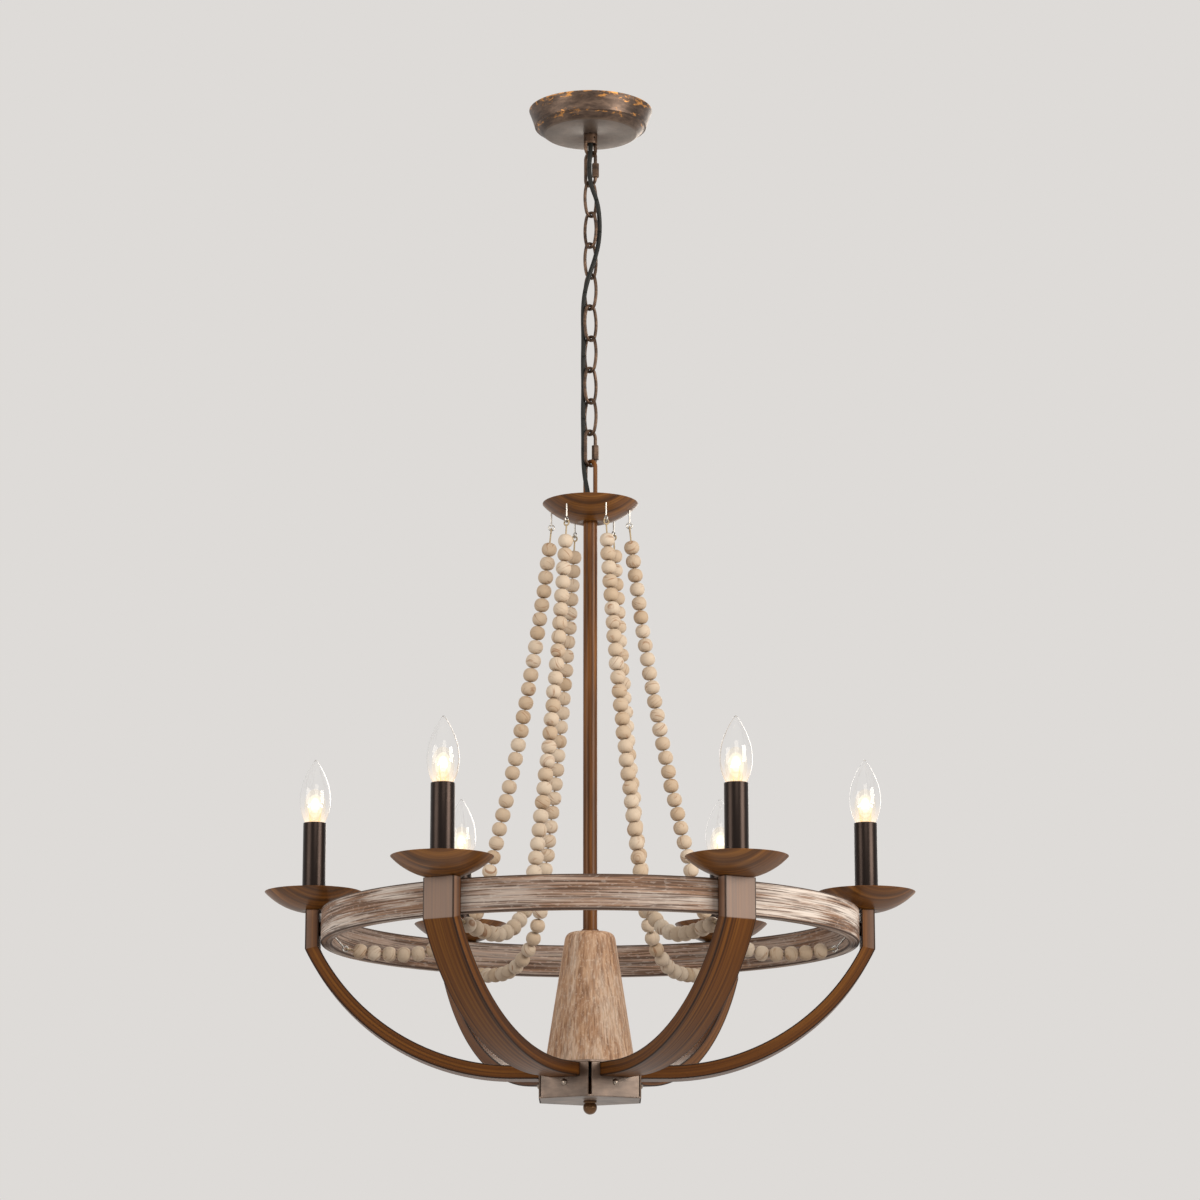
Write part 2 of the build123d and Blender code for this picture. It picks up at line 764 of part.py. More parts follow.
# Bead strands, made in the XZ plane over the first arm, then swung about the hoop's eye to meet
# the hook hole, because the top dish stands a little turned from the arms. A heading is the angle
# of the wire from straight down, growing as it turns out from the stem.
wire_half_gap = hook_wire_r + wire_rest_gap / 2
eye_length = 2 * hook_eye_r - wire_half_gap
hook_hole_z = top_dish_z + dish_height(top_dish_r, top_dish_depth, hook_circle_r, False)
hook_x = hook_circle_r * math.cos(math.radians(dish_turn))
hook_y = hook_circle_r * math.sin(math.radians(dish_turn))
strand_end = (hoop_inner_r - eye_reach, eye_z - eye_fall)
strand_span = math.hypot(strand_end[0] - hook_x, hook_y)
strand_swing = -math.degrees(math.asin(hook_y / strand_span))
strand_top = (strand_end[0] - strand_span, hook_hole_z - hook_drop)
bend_centre = (strand_end[0] - strand_tail, strand_end[1] - strand_tail_rise + strand_bend_r)
tail_r = (strand_tail**2 + strand_tail_rise**2) / (2 * strand_tail_rise)
tail_heading = math.pi / 2 + 2 * math.atan(strand_tail_rise / strand_tail)
eye_offset = hook_eye_r - wire_half_gap


def upper_headings():
    """The headings of the long upper arc where it leaves the dish hook and meets the bend."""
    across = bend_centre[0] - strand_top[0], bend_centre[1] - strand_top[1]
    span = math.hypot(*across)
    small = strand_sag_r - strand_bend_r
    reach = (strand_sag_r**2 - small**2 + span**2) / (2 * span)
    aside = math.sqrt(strand_sag_r**2 - reach**2)
    unit = across[0] / span, across[1] / span
    centre_x = strand_top[0] + reach * unit[0] - aside * unit[1]
    centre_z = strand_top[1] + reach * unit[1] + aside * unit[0]
    first = math.atan2(centre_z - strand_top[1], centre_x - strand_top[0])
    last = math.atan2(centre_z - bend_centre[1], centre_x - bend_centre[0])
    return first, last


first_heading, bend_heading = upper_headings()
strand_arcs = [
    (strand_sag_r, first_heading, bend_heading),
    (strand_bend_r, bend_heading, math.pi / 2),
    (tail_r, math.pi / 2, tail_heading),
]
strand_length = sum(radius * (end - start) for radius, start, end in strand_arcs)


def strand_at(distance):
    """The point and heading at a distance along the strand's line."""
    x, z = strand_top
    for radius, start, end in strand_arcs:
        run = min(distance, radius * (end - start))
        heading = start + run / radius
        x += radius * (math.cos(start) - math.cos(heading))
        z += radius * (math.sin(start) - math.sin(heading))
        distance -= run
        if distance <= 0:
            break
    return (x, z), heading


def split_lengths():
    """The distances where one arc of the strand's line passes into the next."""
    upper, bend, _ = [radius * (end - start) for radius, start, end in strand_arcs]
    return upper, upper + bend


def string_path():
    """The line of the string between its two eyes."""
    ends = [eye_length - hook_wire_r, *split_lengths(), strand_length - eye_length + hook_wire_r]
    arcs = []
    for start, end in zip(ends, ends[1:]):
        marks = [strand_at(distance)[0] for distance in (start, (start + end) / 2, end)]
        arcs.append(ThreePointArc(*[flat(mark) for mark in marks]))
    return Wire(arcs)


def eye_ring(centre, heading, crosswise):
    """A wire eye in the strand's plane, or crosswise to it."""
    stand = Rot(0, 90, 0) if crosswise else Rot(90, 0, 0)
    turn = Rot(0, -math.degrees(heading), 0)
    return Pos(*flat(centre)) * turn * stand * Torus(hook_eye_r, hook_wire_r)


def swung(shape):
    """A shape of the strand's plane, swung about the hoop's eye to its hook hole."""
    return Pos(strand_end[0], 0, 0) * Rot(0, 0, strand_swing) * Pos(-strand_end[0], 0, 0) * shape


def step_along(point, heading, distance):
    """The point a distance further along a heading."""
    return (point[0] + distance * math.sin(heading), point[1] - distance * math.cos(heading))


def bead():
    """A slightly flattened ball with its hole along Z."""
    bore = string_r + bead_bore_gap
    section = Ellipse(bead_r, bead_half_length)
    half = section & Pos(bore + bead_r, 0) * Rectangle(2 * bead_r, 2 * bead_half_length)
    return revolve(Plane.XZ * half, Axis.Z)


def strand_string():
    """The string of one strand, with an eye at each end."""
    string = rod(string_path(), string_r)
    string += eye_ring(step_along(strand_top, first_heading, eye_offset), first_heading, True)
    return string + eye_ring(step_along(strand_end, tail_heading, -eye_offset), tail_heading, True)


def bead_strand():
    """The beads threaded on one string."""
    first = eye_length + string_shown_top + bead_half_length
    last = strand_length - eye_length - string_shown_end - bead_half_length
    count = int((last - first) / (2 * bead_half_length + bead_gap)) + 1
    ball = bead()
    beads = []
    for index in range(count):
        place, heading = strand_at(first + (last - first) * index / (count - 1))
        beads.append(Pos(*flat(place)) * Rot(0, -math.degrees(heading), 0) * ball)
    return group(beads)


def dish_hook():
    """The wire hook through the top dish, with the eye that a strand hangs in."""
    ring = step_along(strand_top, first_heading, -eye_offset)
    shank_x = strand_top[0]
    leg_r = hook_circle_r - 2 * hook_bend_r
    over_z = top_dish_z + dish_height(top_dish_r, top_dish_depth, hook_circle_r, True) + hook_stand
    seat_z = top_dish_z + dish_height(top_dish_r, top_dish_depth, leg_r + hook_wire_r, True)
    bend = (shank_x - hook_bend_r, 0, over_z)
    hook = eye_ring(ring, first_heading, False)
    hook += upright(hook_wire_r, ring[1] + hook_eye_r - hook_wire_r, over_z, shank_x)
    hook += bent(bend, (shank_x, 0, over_z), (0, -1, 0), 180, hook_wire_r)
    return hook + upright(hook_wire_r, seat_z + wire_rest_gap, over_z, shank_x - 2 * hook_bend_r)


def hoop_eye():
    """The bent wire eye screwed into the hoop's inner face."""
    ring = step_along(strand_end, tail_heading, eye_offset)
    knee = (hoop_inner_r - eye_straight, eye_z)
    away = math.dist(knee, ring)
    share = (hook_eye_r - hook_wire_r) / away
    joint = (ring[0] + (knee[0] - ring[0]) * share, ring[1] + (knee[1] - ring[1]) * share)
    line = [flat(point) for point in ((hoop_inner_r + eye_grip, eye_z), knee, joint)]
    shank = rod(FilletPolyline(*line, radius=eye_bend_r), hook_wire_r)
    return shank + eye_ring(ring, tail_heading, False)


# Every piece under its own name
nodes = {
    "mounting_strap": mounting_strap(),
    "strap_nipple": strap_nipple(),
    "nipple_nuts": nipple_nuts(),
    "canopy_cup": canopy_cup(),
    "canopy_loop": canopy_loop(),
    "ceiling_leads": ceiling_leads(),
    "upper_quick_link": quick_link(upper_quick_z, chain_plane(1)),
    "upper_sleeve_nut": sleeve_nut(upper_quick_z, chain_plane(1)),
    "lower_quick_link": quick_link(lower_quick_z, chain_plane(link_count + 2)),
    "lower_sleeve_nut": sleeve_nut(lower_quick_z, chain_plane(link_count + 2)),
    "hanger_loop": hanger_loop(),
    "top_dish": top_dish(),
    "stem_tube": stem_tube(),
    "stem_collar": stem_collar(),
    "cone": cone(),
    "hub_lid": hub_lid(),
    "hub_tray": hub_tray(),
    "finial": finial(),
    "hoop": hoop(),
    "arms": round_the_stem(arm()),
    "arm_fasteners": arm_fasteners(),
    "lamp_wiring": lamp_wiring(),
    "wire_junction": wire_junction(),
    "strand_hooks": group([round_the_stem(swung(dish_hook())), round_the_stem(hoop_eye())]),
}
for index in range(link_count):
    nodes[f"chain_link_{index + 1}"] = oval_link(first_link_z - index * link_pitch, chain_plane(index + 2))

cord_line, cord_radii = cord_path()
nodes["supply_cord"] = rod(cord_line, cord_d / 2)

drip_bowl = dish(drip_dish_r, drip_dish_depth, holder_nipple_r + slip_gap)
nodes["drip_dishes"] = round_the_stem(Pos(candle_r, 0, arm_top_z) * drip_bowl)
nodes["candle_sleeves"] = round_the_stem(Pos(candle_r, 0, 0) * candle_sleeve())
nodes["lamp_holders"] = round_the_stem(Pos(candle_r, 0, 0) * lamp_holder())

one_glass = Pos(candle_r, 0, 0) * bulb_glass()
one_base = Pos(candle_r, 0, 0) * bulb_base()
one_string = swung(strand_string())
one_strand = swung(bead_strand())
for index in range(arm_count):
    nodes[f"bulb_glass_{index + 1}"] = ring_spin(one_glass, index)
    nodes[f"bulb_base_{index + 1}"] = ring_spin(one_base, index)
    nodes[f"strand_string_{index + 1}"] = ring_spin(one_string, index)
    nodes[f"bead_strand_{index + 1}"] = ring_spin(one_strand, index)

os.makedirs("parts", exist_ok=True)
for name, shape in nodes.items():
    export_step(shape, f"parts/{name}.step")

print("nodes", len(nodes))
print("cord length", round(cord_line.length, 2), "radii", [round(radius, 1) for radius in cord_radii])
cord_section = math.pi * cord_d**2 / 4
print("cord volume share", round(nodes["supply_cord"].volume / (cord_section * cord_line.length), 4))
print("heights", {name: round(value, 2) for name, value in {
    "bail": bail_low_z, "upper quick": upper_quick_z, "first link": first_link_z,
    "link pitch": link_pitch, "lower quick": lower_quick_z, "hanger": hanger_z,
    "dish": top_dish_z, "hub": tray_z, "arm top": arm_top_z, "hoop low": hoop_low_z,
    "sleeve top": sleeve_top_z, "base seat": base_seat_z, "base top": base_top_z,
}.items()})
print("radii", [round(value, 2) for value in (candle_r, hoop_r, hoop_inner_r, arm_outer_r, hub_apothem)])
print("strand", strand_top, strand_end, strand_length, math.degrees(first_heading))
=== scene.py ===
"""A six-armed wooden chandelier on a chain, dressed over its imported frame.

Sizes are millimetres in the classes below and metres in Blender. The ceiling is z = 0, the stem
hangs down the Z axis, and the arms are counted anticlockwise from above, starting on +X.
"""
import logging
import math
import random
from dataclasses import dataclass
from enum import Enum
from typing import Callable, Sequence

import bmesh
import bpy
from mathutils import Matrix, Vector
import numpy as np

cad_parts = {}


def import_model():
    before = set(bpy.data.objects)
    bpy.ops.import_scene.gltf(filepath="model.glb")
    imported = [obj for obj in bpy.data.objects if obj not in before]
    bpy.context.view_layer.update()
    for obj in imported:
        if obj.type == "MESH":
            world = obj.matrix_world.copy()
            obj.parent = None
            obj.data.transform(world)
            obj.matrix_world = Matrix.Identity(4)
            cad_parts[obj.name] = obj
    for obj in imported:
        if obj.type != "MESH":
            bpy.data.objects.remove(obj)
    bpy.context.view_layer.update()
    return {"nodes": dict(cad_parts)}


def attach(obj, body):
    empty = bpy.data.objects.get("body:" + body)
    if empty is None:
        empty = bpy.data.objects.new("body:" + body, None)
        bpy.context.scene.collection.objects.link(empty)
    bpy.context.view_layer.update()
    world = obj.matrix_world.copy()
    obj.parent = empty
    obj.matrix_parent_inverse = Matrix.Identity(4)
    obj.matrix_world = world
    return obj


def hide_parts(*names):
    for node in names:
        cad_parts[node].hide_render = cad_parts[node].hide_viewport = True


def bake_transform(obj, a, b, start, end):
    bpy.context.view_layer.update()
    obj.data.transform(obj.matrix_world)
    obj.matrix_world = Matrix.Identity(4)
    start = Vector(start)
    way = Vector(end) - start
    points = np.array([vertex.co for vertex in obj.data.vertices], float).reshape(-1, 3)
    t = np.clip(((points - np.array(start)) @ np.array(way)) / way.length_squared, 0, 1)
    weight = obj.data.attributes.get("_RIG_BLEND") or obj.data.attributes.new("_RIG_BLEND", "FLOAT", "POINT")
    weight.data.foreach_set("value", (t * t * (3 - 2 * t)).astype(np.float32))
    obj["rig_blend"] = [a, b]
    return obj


LOG = logging.getLogger("chandelier")
MM = 0.001
ARM_COUNT = 6
MIX = {"data_type": "RGBA"}
# A worn edge fades out between these distances from the corner, in millimetres.
EDGE_FROM, EDGE_TO = 2.0, 1.1
# Points nearer than this, in millimetres, are one point.
TINY = 1e-4
Point2 = tuple[float, float]
Point3 = tuple[float, float, float]
Sockets = dict[str | int, object]


class Body(Enum):
    """The bodies of the frame that new pieces ride on."""

    CEILING = "ceiling_mount"
    LAMP = "lamp"


class Space(Enum):
    """Where a pattern takes its coordinates from."""

    PLACE = "the object's own metres"
    GRAIN = "metres along and across the grain, stored on the mesh"


def linear(code: str) -> tuple[float, float, float, float]:
    """Turn an sRGB hex colour into linear RGBA.

    Args:
        code: Six hex digits after a hash sign.

    Returns:
        Red, green, blue and an alpha of one.
    """
    shares = [int(code[i:i + 2], 16) / 255 for i in (1, 3, 5)]
    tones = [s / 12.92 if s <= 0.04045 else ((s + 0.055) / 1.055) ** 2.4 for s in shares]
    return (tones[0], tones[1], tones[2], 1.0)


def add_node(
    tree: bpy.types.NodeTree,
    kind: str,
    settings: dict[str, object] | None = None,
    links: Sockets | None = None,
) -> bpy.types.Node:
    """Add one shader node with its settings and links.

    Args:
        tree: The node tree that gets the node.
        kind: Blender's name for the type of node.
        settings: Values for the node itself; "stops" holds a colour ramp's (place, hex) pairs.
        links: Socket names or numbers, each with a value, an output to link from, or a node whose first
            output is linked.

    Returns:
        The new node.
    """
    node = tree.nodes.new(kind)
    for key, value in (settings or {}).items():
        if key == "stops":
            ramp = node.color_ramp.elements
            while len(ramp) < len(value):
                ramp.new(1.0)
            for stop, (place, code) in zip(ramp, value):
                stop.position = place
                stop.color = linear(code)
        else:
            setattr(node, key, value)
    for key, value in (links or {}).items():
        if isinstance(value, bpy.types.Node):
            value = value.outputs[0]
        if isinstance(value, bpy.types.NodeSocket):
            tree.links.new(value, node.inputs[key])
        else:
            node.inputs[key].default_value = value
    return node


def seen_share(tree: bpy.types.NodeTree) -> bpy.types.Node:
    """Find the rays that show the backdrop: to the camera, by mirroring and through glass.

    Args:
        tree: The node tree of the floor or of the world.

    Returns:
        One for those rays, else zero.
    """
    rays = add_node(tree, "ShaderNodeLightPath").outputs
    shown = rays["Is Camera Ray"]
    for other in ("Is Glossy Ray", "Is Transmission Ray"):
        shown = add_node(tree, "ShaderNodeMath", {"operation": "ADD", "use_clamp": True}, {
            0: shown, 1: rays[other],
        })
    return shown


@dataclass(frozen=True)
class Finish:
    """A surface finish that makes its own material."""

    name: str
    space: Space = Space.PLACE

    def material(self) -> bpy.types.Material:
        """Return the finish's material, made on first use.

        Returns:
            The material.
        """
        found = bpy.data.materials.get(self.name)
        if found:
            return found
        material = bpy.data.materials.new(self.name)
        material.use_nodes = True
        tree = material.node_tree
        tree.nodes.clear()
        shader = add_node(tree, "ShaderNodeBsdfPrincipled", links=self.paint(tree))
        add_node(tree, "ShaderNodeOutputMaterial", links={"Surface": shader})
        return material

    def paint(self, tree: bpy.types.NodeTree) -> Sockets:
        """Draw the finish's pattern.

        Args:
            tree: The material's node tree.

        Returns:
            The shader's sockets, as add_node takes them.
        """
        raise NotImplementedError

    def spots(
        self, tree: bpy.types.NodeTree, size_mm: Point3, detail: float = 4.0, warp: float = 0.0,
        shift: float = 0.0, rough: float = 0.5,
    ) -> bpy.types.Node:
        """Lay out noise whose patches have a real size.

        Args:
            tree: The material's node tree.
            size_mm: The patches' length along each axis of the finish's space.
            detail: How many finer layers the noise has.
            warp: How far the noise is distorted.
            shift: A shift that tells this noise from others of the same size.
            rough: How strong the finer layers are.

        Returns:
            The noise, whose value is about 0.5 in the middle.
        """
        if self.space is Space.GRAIN:
            here = add_node(tree, "ShaderNodeAttribute", {"attribute_name": "grain"}).outputs["Vector"]
        else:
            here = add_node(tree, "ShaderNodeTexCoord").outputs["Object"]
        scale = tuple(1.0 / (size * MM) for size in size_mm)
        place = add_node(tree, "ShaderNodeMapping", links={
            "Vector": here, "Scale": scale, "Location": (shift, shift * 0.7, shift * 1.3),
        })
        return add_node(tree, "ShaderNodeTexNoise", links={
            "Vector": place, "Scale": 1.0, "Detail": detail, "Distortion": warp, "Roughness": rough,
        })

    def edges(self, tree: bpy.types.NodeTree, half_mm: Point2) -> bpy.types.Node:
        """Find a bar's long edges from its grain coordinates, which are zero in its middle.

        Args:
            tree: The material's node tree.
            half_mm: Half of the bar's width and depth.

        Returns:
            One on the last millimetre beside each edge, and zero on the faces.
        """
        here = add_node(tree, "ShaderNodeAttribute", {"attribute_name": "grain"}).outputs["Vector"]
        split = add_node(tree, "ShaderNodeSeparateXYZ", links={"Vector": here})
        share = []
        for axis, half in zip("YZ", half_mm):
            away = add_node(tree, "ShaderNodeMath", {"operation": "ABSOLUTE"}, {0: split.outputs[axis]})
            share.append(add_node(tree, "ShaderNodeMapRange", links={
                "Value": away, "From Min": (half - EDGE_FROM) * MM, "From Max": (half - EDGE_TO) * MM,
            }))
        return add_node(tree, "ShaderNodeMath", {"operation": "MULTIPLY"}, {0: share[0], 1: share[1]})

    def heights(self, tree: bpy.types.NodeTree, low_mm: float, high_mm: float) -> bpy.types.Node:
        """Measure the height between two levels.

        Args:
            tree: The material's node tree.
            low_mm: The level that gives 0.
            high_mm: The level that gives 1.

        Returns:
            The share from 0 to 1.
        """
        here = add_node(tree, "ShaderNodeTexCoord").outputs["Object"]
        split = add_node(tree, "ShaderNodeSeparateXYZ", links={"Vector": here})
        return add_node(tree, "ShaderNodeMapRange", links={
            "Value": split.outputs["Z"], "From Min": low_mm * MM, "From Max": high_mm * MM,
        })


@dataclass(frozen=True)
class AgedBronze(Finish):
    """Dark bronze lacquer on spun sheet, with gold rubbed through in two bands."""

    dark: str = "#382b23"
    base: str = "#504036"
    light: str = "#6a574a"
    under: str = "#7b6e63"
    gold: str = "#bd8444"
    rub_mm: Point3 = (13.0, 13.0, 5.0)
    bands: tuple[tuple[float, str], ...] = ((0.0, "#1c1c1c"), (1.0, "#1c1c1c"))
    low_mm: float = -29.0
    high_mm: float = 0.0

    def paint(self, tree: bpy.types.NodeTree) -> Sockets:
        """Mottle the lacquer and rub the gold through it.

        Args:
            tree: The material's node tree.

        Returns:
            The shader's sockets.
        """
        cloud = self.spots(tree, (20, 20, 6), 8, 0.2, 0.0, 0.62)
        mottle = add_node(tree, "ShaderNodeValToRGB", {
            "stops": [(0.36, self.dark), (0.5, self.base), (0.66, self.light)],
        }, {"Fac": cloud})
        height = self.heights(tree, self.low_mm, self.high_mm)
        # Paler towards the very bottom of the cup, up to half the under colour there.
        base = add_node(tree, "ShaderNodeMapRange", links={
            "Value": height, "From Min": 0.06, "From Max": 0.0, "To Max": 0.5,
        })
        paler_foot = add_node(tree, "ShaderNodeMix", MIX, {0: base, 6: mottle, 7: linear(self.under)})
        rub = self.spots(tree, self.rub_mm, 9, 0.5, 4.0, 0.66)
        band = add_node(tree, "ShaderNodeValToRGB", {"stops": self.bands}, {"Fac": height})
        level = add_node(tree, "ShaderNodeMath", {"operation": "ADD"}, {0: rub, 1: band})
        worn = add_node(tree, "ShaderNodeMapRange", links={
            "Value": level, "From Min": 0.8, "From Max": 0.88,
        })
        skin = add_node(tree, "ShaderNodeMix", MIX, {
            0: worn, 6: paler_foot.outputs[2], 7: linear(self.gold),
        })
        gloss = add_node(tree, "ShaderNodeMapRange", links={"Value": rub, "To Min": 0.52, "To Max": 0.3})
        bump = add_node(tree, "ShaderNodeBump", links={
            "Height": self.spots(tree, (2.2, 2.2, 2.2), 3), "Strength": 0.25, "Distance": 0.2 * MM,
        })
        return {"Base Color": skin.outputs[2], "Roughness": gloss, "Metallic": 0.55, "Normal": bump}


@dataclass(frozen=True)
class StreakedPaint(Finish):
    """Satin paint or lacquer brushed in streaks, so that metal or wood shows a long grain."""

    dark: str = "#472a13"
    base: str = "#704622"
    light: str = "#8b5d31"
    streak_mm: Point3 = (160.0, 9.0, 9.0)
    line_mm: Point3 = (90.0, 2.2, 2.2)
    line_share: float = 0.55
    roughness: float = 0.4
    metallic: float = 0.0
    coat: float = 0.2
    gloss: float = 0.5
    bar_half_mm: Point2 | None = None
    edge: str = "#2b190d"
    # A paler colour laid where the stored share says, as painted sheen for light reflected off the paint;
    # empty for none.
    painted_sheen: str = ""

    def paint(self, tree: bpy.types.NodeTree) -> Sockets:
        """Draw broad streaks, then fine dark lines over them.

        Args:
            tree: The material's node tree.

        Returns:
            The shader's sockets.
        """
        # A grainer's comb leaves lines 0.5 to 1 mm apart, drawn up to twice as wide so that they show.
        streak = self.spots(tree, self.streak_mm, 3, 0.12)
        tone = add_node(tree, "ShaderNodeValToRGB", {
            "stops": [(0.32, self.dark), (0.5, self.base), (0.68, self.light)],
        }, {"Fac": streak})
        line = self.spots(tree, self.line_mm, 3, 0.1, 7.0)
        thin = add_node(tree, "ShaderNodeMapRange", links={
            "Value": line, "From Min": 0.5, "From Max": 0.68, "To Max": self.line_share,
        })
        coats = [(thin, self.dark)]
        # Painted sheen: a paler colour, laid by a stored share, that stands in for light reflected off the
        # satin paint.
        if self.painted_sheen:
            share = add_node(tree, "ShaderNodeAttribute", {"attribute_name": "rub"})
            coats.append((share.outputs["Fac"], self.painted_sheen))
        if self.bar_half_mm:
            coats.append((self.edges(tree, self.bar_half_mm), self.edge))
        skin = tone
        for share, colour in coats:
            skin = add_node(tree, "ShaderNodeMix", MIX, {0: share, 6: skin, 7: linear(colour)}).outputs[2]
        satin = add_node(tree, "ShaderNodeMapRange", links={
            "Value": line, "To Min": self.roughness - 0.08, "To Max": self.roughness + 0.12,
        })
        bump = add_node(tree, "ShaderNodeBump", links={
            "Height": line, "Strength": 0.3, "Distance": 0.12 * MM,
        })
        return {
            "Base Color": skin, "Roughness": satin, "Metallic": self.metallic,
            "Specular IOR Level": self.gloss, "Coat Weight": self.coat, "Coat Roughness": 0.3,
            "Normal": bump,
        }


@dataclass(frozen=True)
class WashedWood(Finish):
    """Sawn softwood, limewashed and sanded back, so that the wash stays in patches along the grain."""

    wood: str = "#8a674d"
    light_wood: str = "#a98a72"
    shade: str = "#57402f"
    wash: str = "#d3cac2"
    patch_mm: Point3 = (55.0, 55.0, 16.0)
    line_mm: Point3 = (48.0, 48.0, 2.4)
    wash_from: float = 0.36
    wash_to: float = 0.6
    wash_most: float = 0.9
    scratch_from: float = 0.58
    scratch_share: float = 0.8
    flecks: float = 0.5
    fleck_mm: Point3 = (7.0, 2.6, 2.6)
    uneven: str = ""
    bar_half_mm: Point2 | None = None
    edge: str = "#3d2b20"

    def paint(self, tree: bpy.types.NodeTree) -> Sockets:
        """Draw the grain, lay the wash over it in patches and scratch both.

        Args:
            tree: The material's node tree.

        Returns:
            The shader's sockets.
        """
        # Softwood's pores and scratches are under 0.5 mm wide, drawn 1 to 3 mm wide so that they show.
        fine = self.spots(tree, self.line_mm, 5, 0.15)
        grain = add_node(tree, "ShaderNodeValToRGB", {
            "stops": [(0.34, self.shade), (0.5, self.wood), (0.66, self.light_wood)],
        }, {"Fac": fine})
        patch = self.spots(tree, self.patch_mm, 4, 0.2, 3.0)
        pores = self.spots(tree, tuple(size * 0.6 for size in self.line_mm), 6, 0.1, 6.0)
        both = add_node(tree, "ShaderNodeMix", {"data_type": "FLOAT"}, {0: 0.45, 2: patch, 3: pores})
        wash = add_node(tree, "ShaderNodeMapRange", links={
            "Value": both, "From Min": self.wash_from, "From Max": self.wash_to,
            "To Max": self.wash_most,
        })
        # A stored share thins the wash; on the hoop it also carries painted light, more wash towards the
        # sides.
        if self.uneven:
            share = add_node(tree, "ShaderNodeAttribute", {"attribute_name": self.uneven})
            wash = add_node(tree, "ShaderNodeMath", {"operation": "MULTIPLY"}, {
                0: wash, 1: share.outputs["Fac"],
            })
        mark = self.spots(tree, tuple(size * 0.8 for size in self.line_mm), 5, 0.1, 9.0)
        scratch = add_node(tree, "ShaderNodeMapRange", links={
            "Value": mark, "From Min": self.scratch_from, "From Max": self.scratch_from + 0.05,
            "To Max": self.scratch_share,
        })
        lime = add_node(tree, "ShaderNodeMapRange", links={
            "Value": self.spots(tree, self.fleck_mm, 3, 0.2, 12.0), "From Min": 0.57, "From Max": 0.64,
            "To Max": self.flecks,
        })
        coats = [
            (wash, self.wash), (scratch, self.shade), (lime, self.wash),
        ]
        if self.bar_half_mm:
            coats.append((self.edges(tree, self.bar_half_mm), self.edge))
        skin = grain
        for share, colour in coats:
            skin = add_node(tree, "ShaderNodeMix", MIX, {0: share, 6: skin, 7: linear(colour)}).outputs[2]
        bump = add_node(tree, "ShaderNodeBump", links={
            "Height": fine, "Strength": 0.45, "Distance": 0.4 * MM,
        })
        return {"Base Color": skin, "Roughness": 0.72, "Normal": bump}


@dataclass(frozen=True)
class BareWood(Finish):
    """Turned and sanded hardwood with no coat: pale, matt, with growth rings across each bead."""

    pale: str = "#cbbcaa"
    deep: str = "#b6a087"
    ring: str = "#8a5d38"

    def paint(self, tree: bpy.types.NodeTree) -> Sockets:
        """Vary each bead's tone and draw its rings.

        Args:
            tree: The material's node tree.

        Returns:
            The shader's sockets.
        """
        # Beech grows 1 to 3 mm a year, so the rings are drawn at their real width.
        tone = add_node(tree, "ShaderNodeAttribute", {"attribute_name": "tone"}).outputs["Fac"]
        ground = add_node(tree, "ShaderNodeMix", MIX, {0: tone, 6: linear(self.pale), 7: linear(self.deep)})
        rings = self.spots(tree, (22, 2.6, 22), 3, 0.7)
        mark = add_node(tree, "ShaderNodeMapRange", links={
            "Value": rings, "From Min": 0.58, "From Max": 0.7, "To Max": 0.75,
        })
        skin = add_node(tree, "ShaderNodeMix", MIX, {
            0: mark, 6: ground.outputs[2], 7: linear(self.ring),
        })
        bump = add_node(tree, "ShaderNodeBump", links={
            "Height": rings, "Strength": 0.2, "Distance": 0.2 * MM,
        })
        return {"Base Color": skin.outputs[2], "Roughness": 0.68, "Normal": bump}


@dataclass(frozen=True)
class PlainCoat(Finish):
    """A coat of one colour, moulded, plated or sprayed, with a faint uneven gloss."""

    colour: str = "#808080"
    worn: str = "#707070"
    roughness: float = 0.4
    metallic: float = 0.0
    gloss: float = 0.5
    patch_mm: float = 6.0

    def paint(self, tree: bpy.types.NodeTree) -> Sockets:
        """Vary the colour and the gloss a little.

        Args:
            tree: The material's node tree.

        Returns:
            The shader's sockets.
        """
        cloud = self.spots(tree, (self.patch_mm,) * 3, 4, 0.4)
        skin = add_node(tree, "ShaderNodeMix", MIX, {0: cloud, 6: linear(self.colour), 7: linear(self.worn)})
        satin = add_node(tree, "ShaderNodeMapRange", links={
            "Value": cloud, "To Min": self.roughness - 0.08, "To Max": self.roughness + 0.08,
        })
        return {
            "Base Color": skin.outputs[2], "Roughness": satin, "Metallic": self.metallic,
            "Specular IOR Level": self.gloss,
        }


@dataclass(frozen=True)
class LampGlass(Finish):
    """Clear blown soda-lime glass, lit from its lower third by the filament."""

    low_mm: float = -848.0
    lit_mm: float = 40.0

    def paint(self, tree: bpy.types.NodeTree) -> Sockets:
        """Let light through and warm the lower part.

        Args:
            tree: The material's node tree.

        Returns:
            The shader's sockets.
        """
        glow = add_node(tree, "ShaderNodeValToRGB", {"stops": [
            (0.0, "#8a6a3e"), (0.3, "#4a3a24"), (0.6, "#1a150e"), (1.0, "#000000"),
        ]}, {"Fac": self.heights(tree, self.low_mm, self.low_mm + self.lit_mm)})
        return {
            "Base Color": linear("#ffffff"), "Roughness": 0.0, "IOR": 1.45, "Transmission Weight": 1.0,
            "Emission Color": glow, "Emission Strength": 1.0,
        }


@dataclass(frozen=True)
class Glow(Finish):
    """Light of a filament or of the air round it, seen as a clear or solid bright shell; on the lead wires, a
    painted glow for the filament's light on them.
    """

    colour: str = "#fff0d2"
    strength: float = 4.0
    cover: float = 1.0

    def paint(self, tree: bpy.types.NodeTree) -> Sockets:
        """Make the surface shine and, where it is thin, let the back show through.

        Args:
            tree: The material's node tree.

        Returns:
            The shader's sockets.
        """
        return {
            "Base Color": linear("#000000"), "Roughness": 1.0, "Specular IOR Level": 0.0, "Alpha": self.cover,
            "Emission Color": linear(self.colour), "Emission Strength": self.strength,
        }


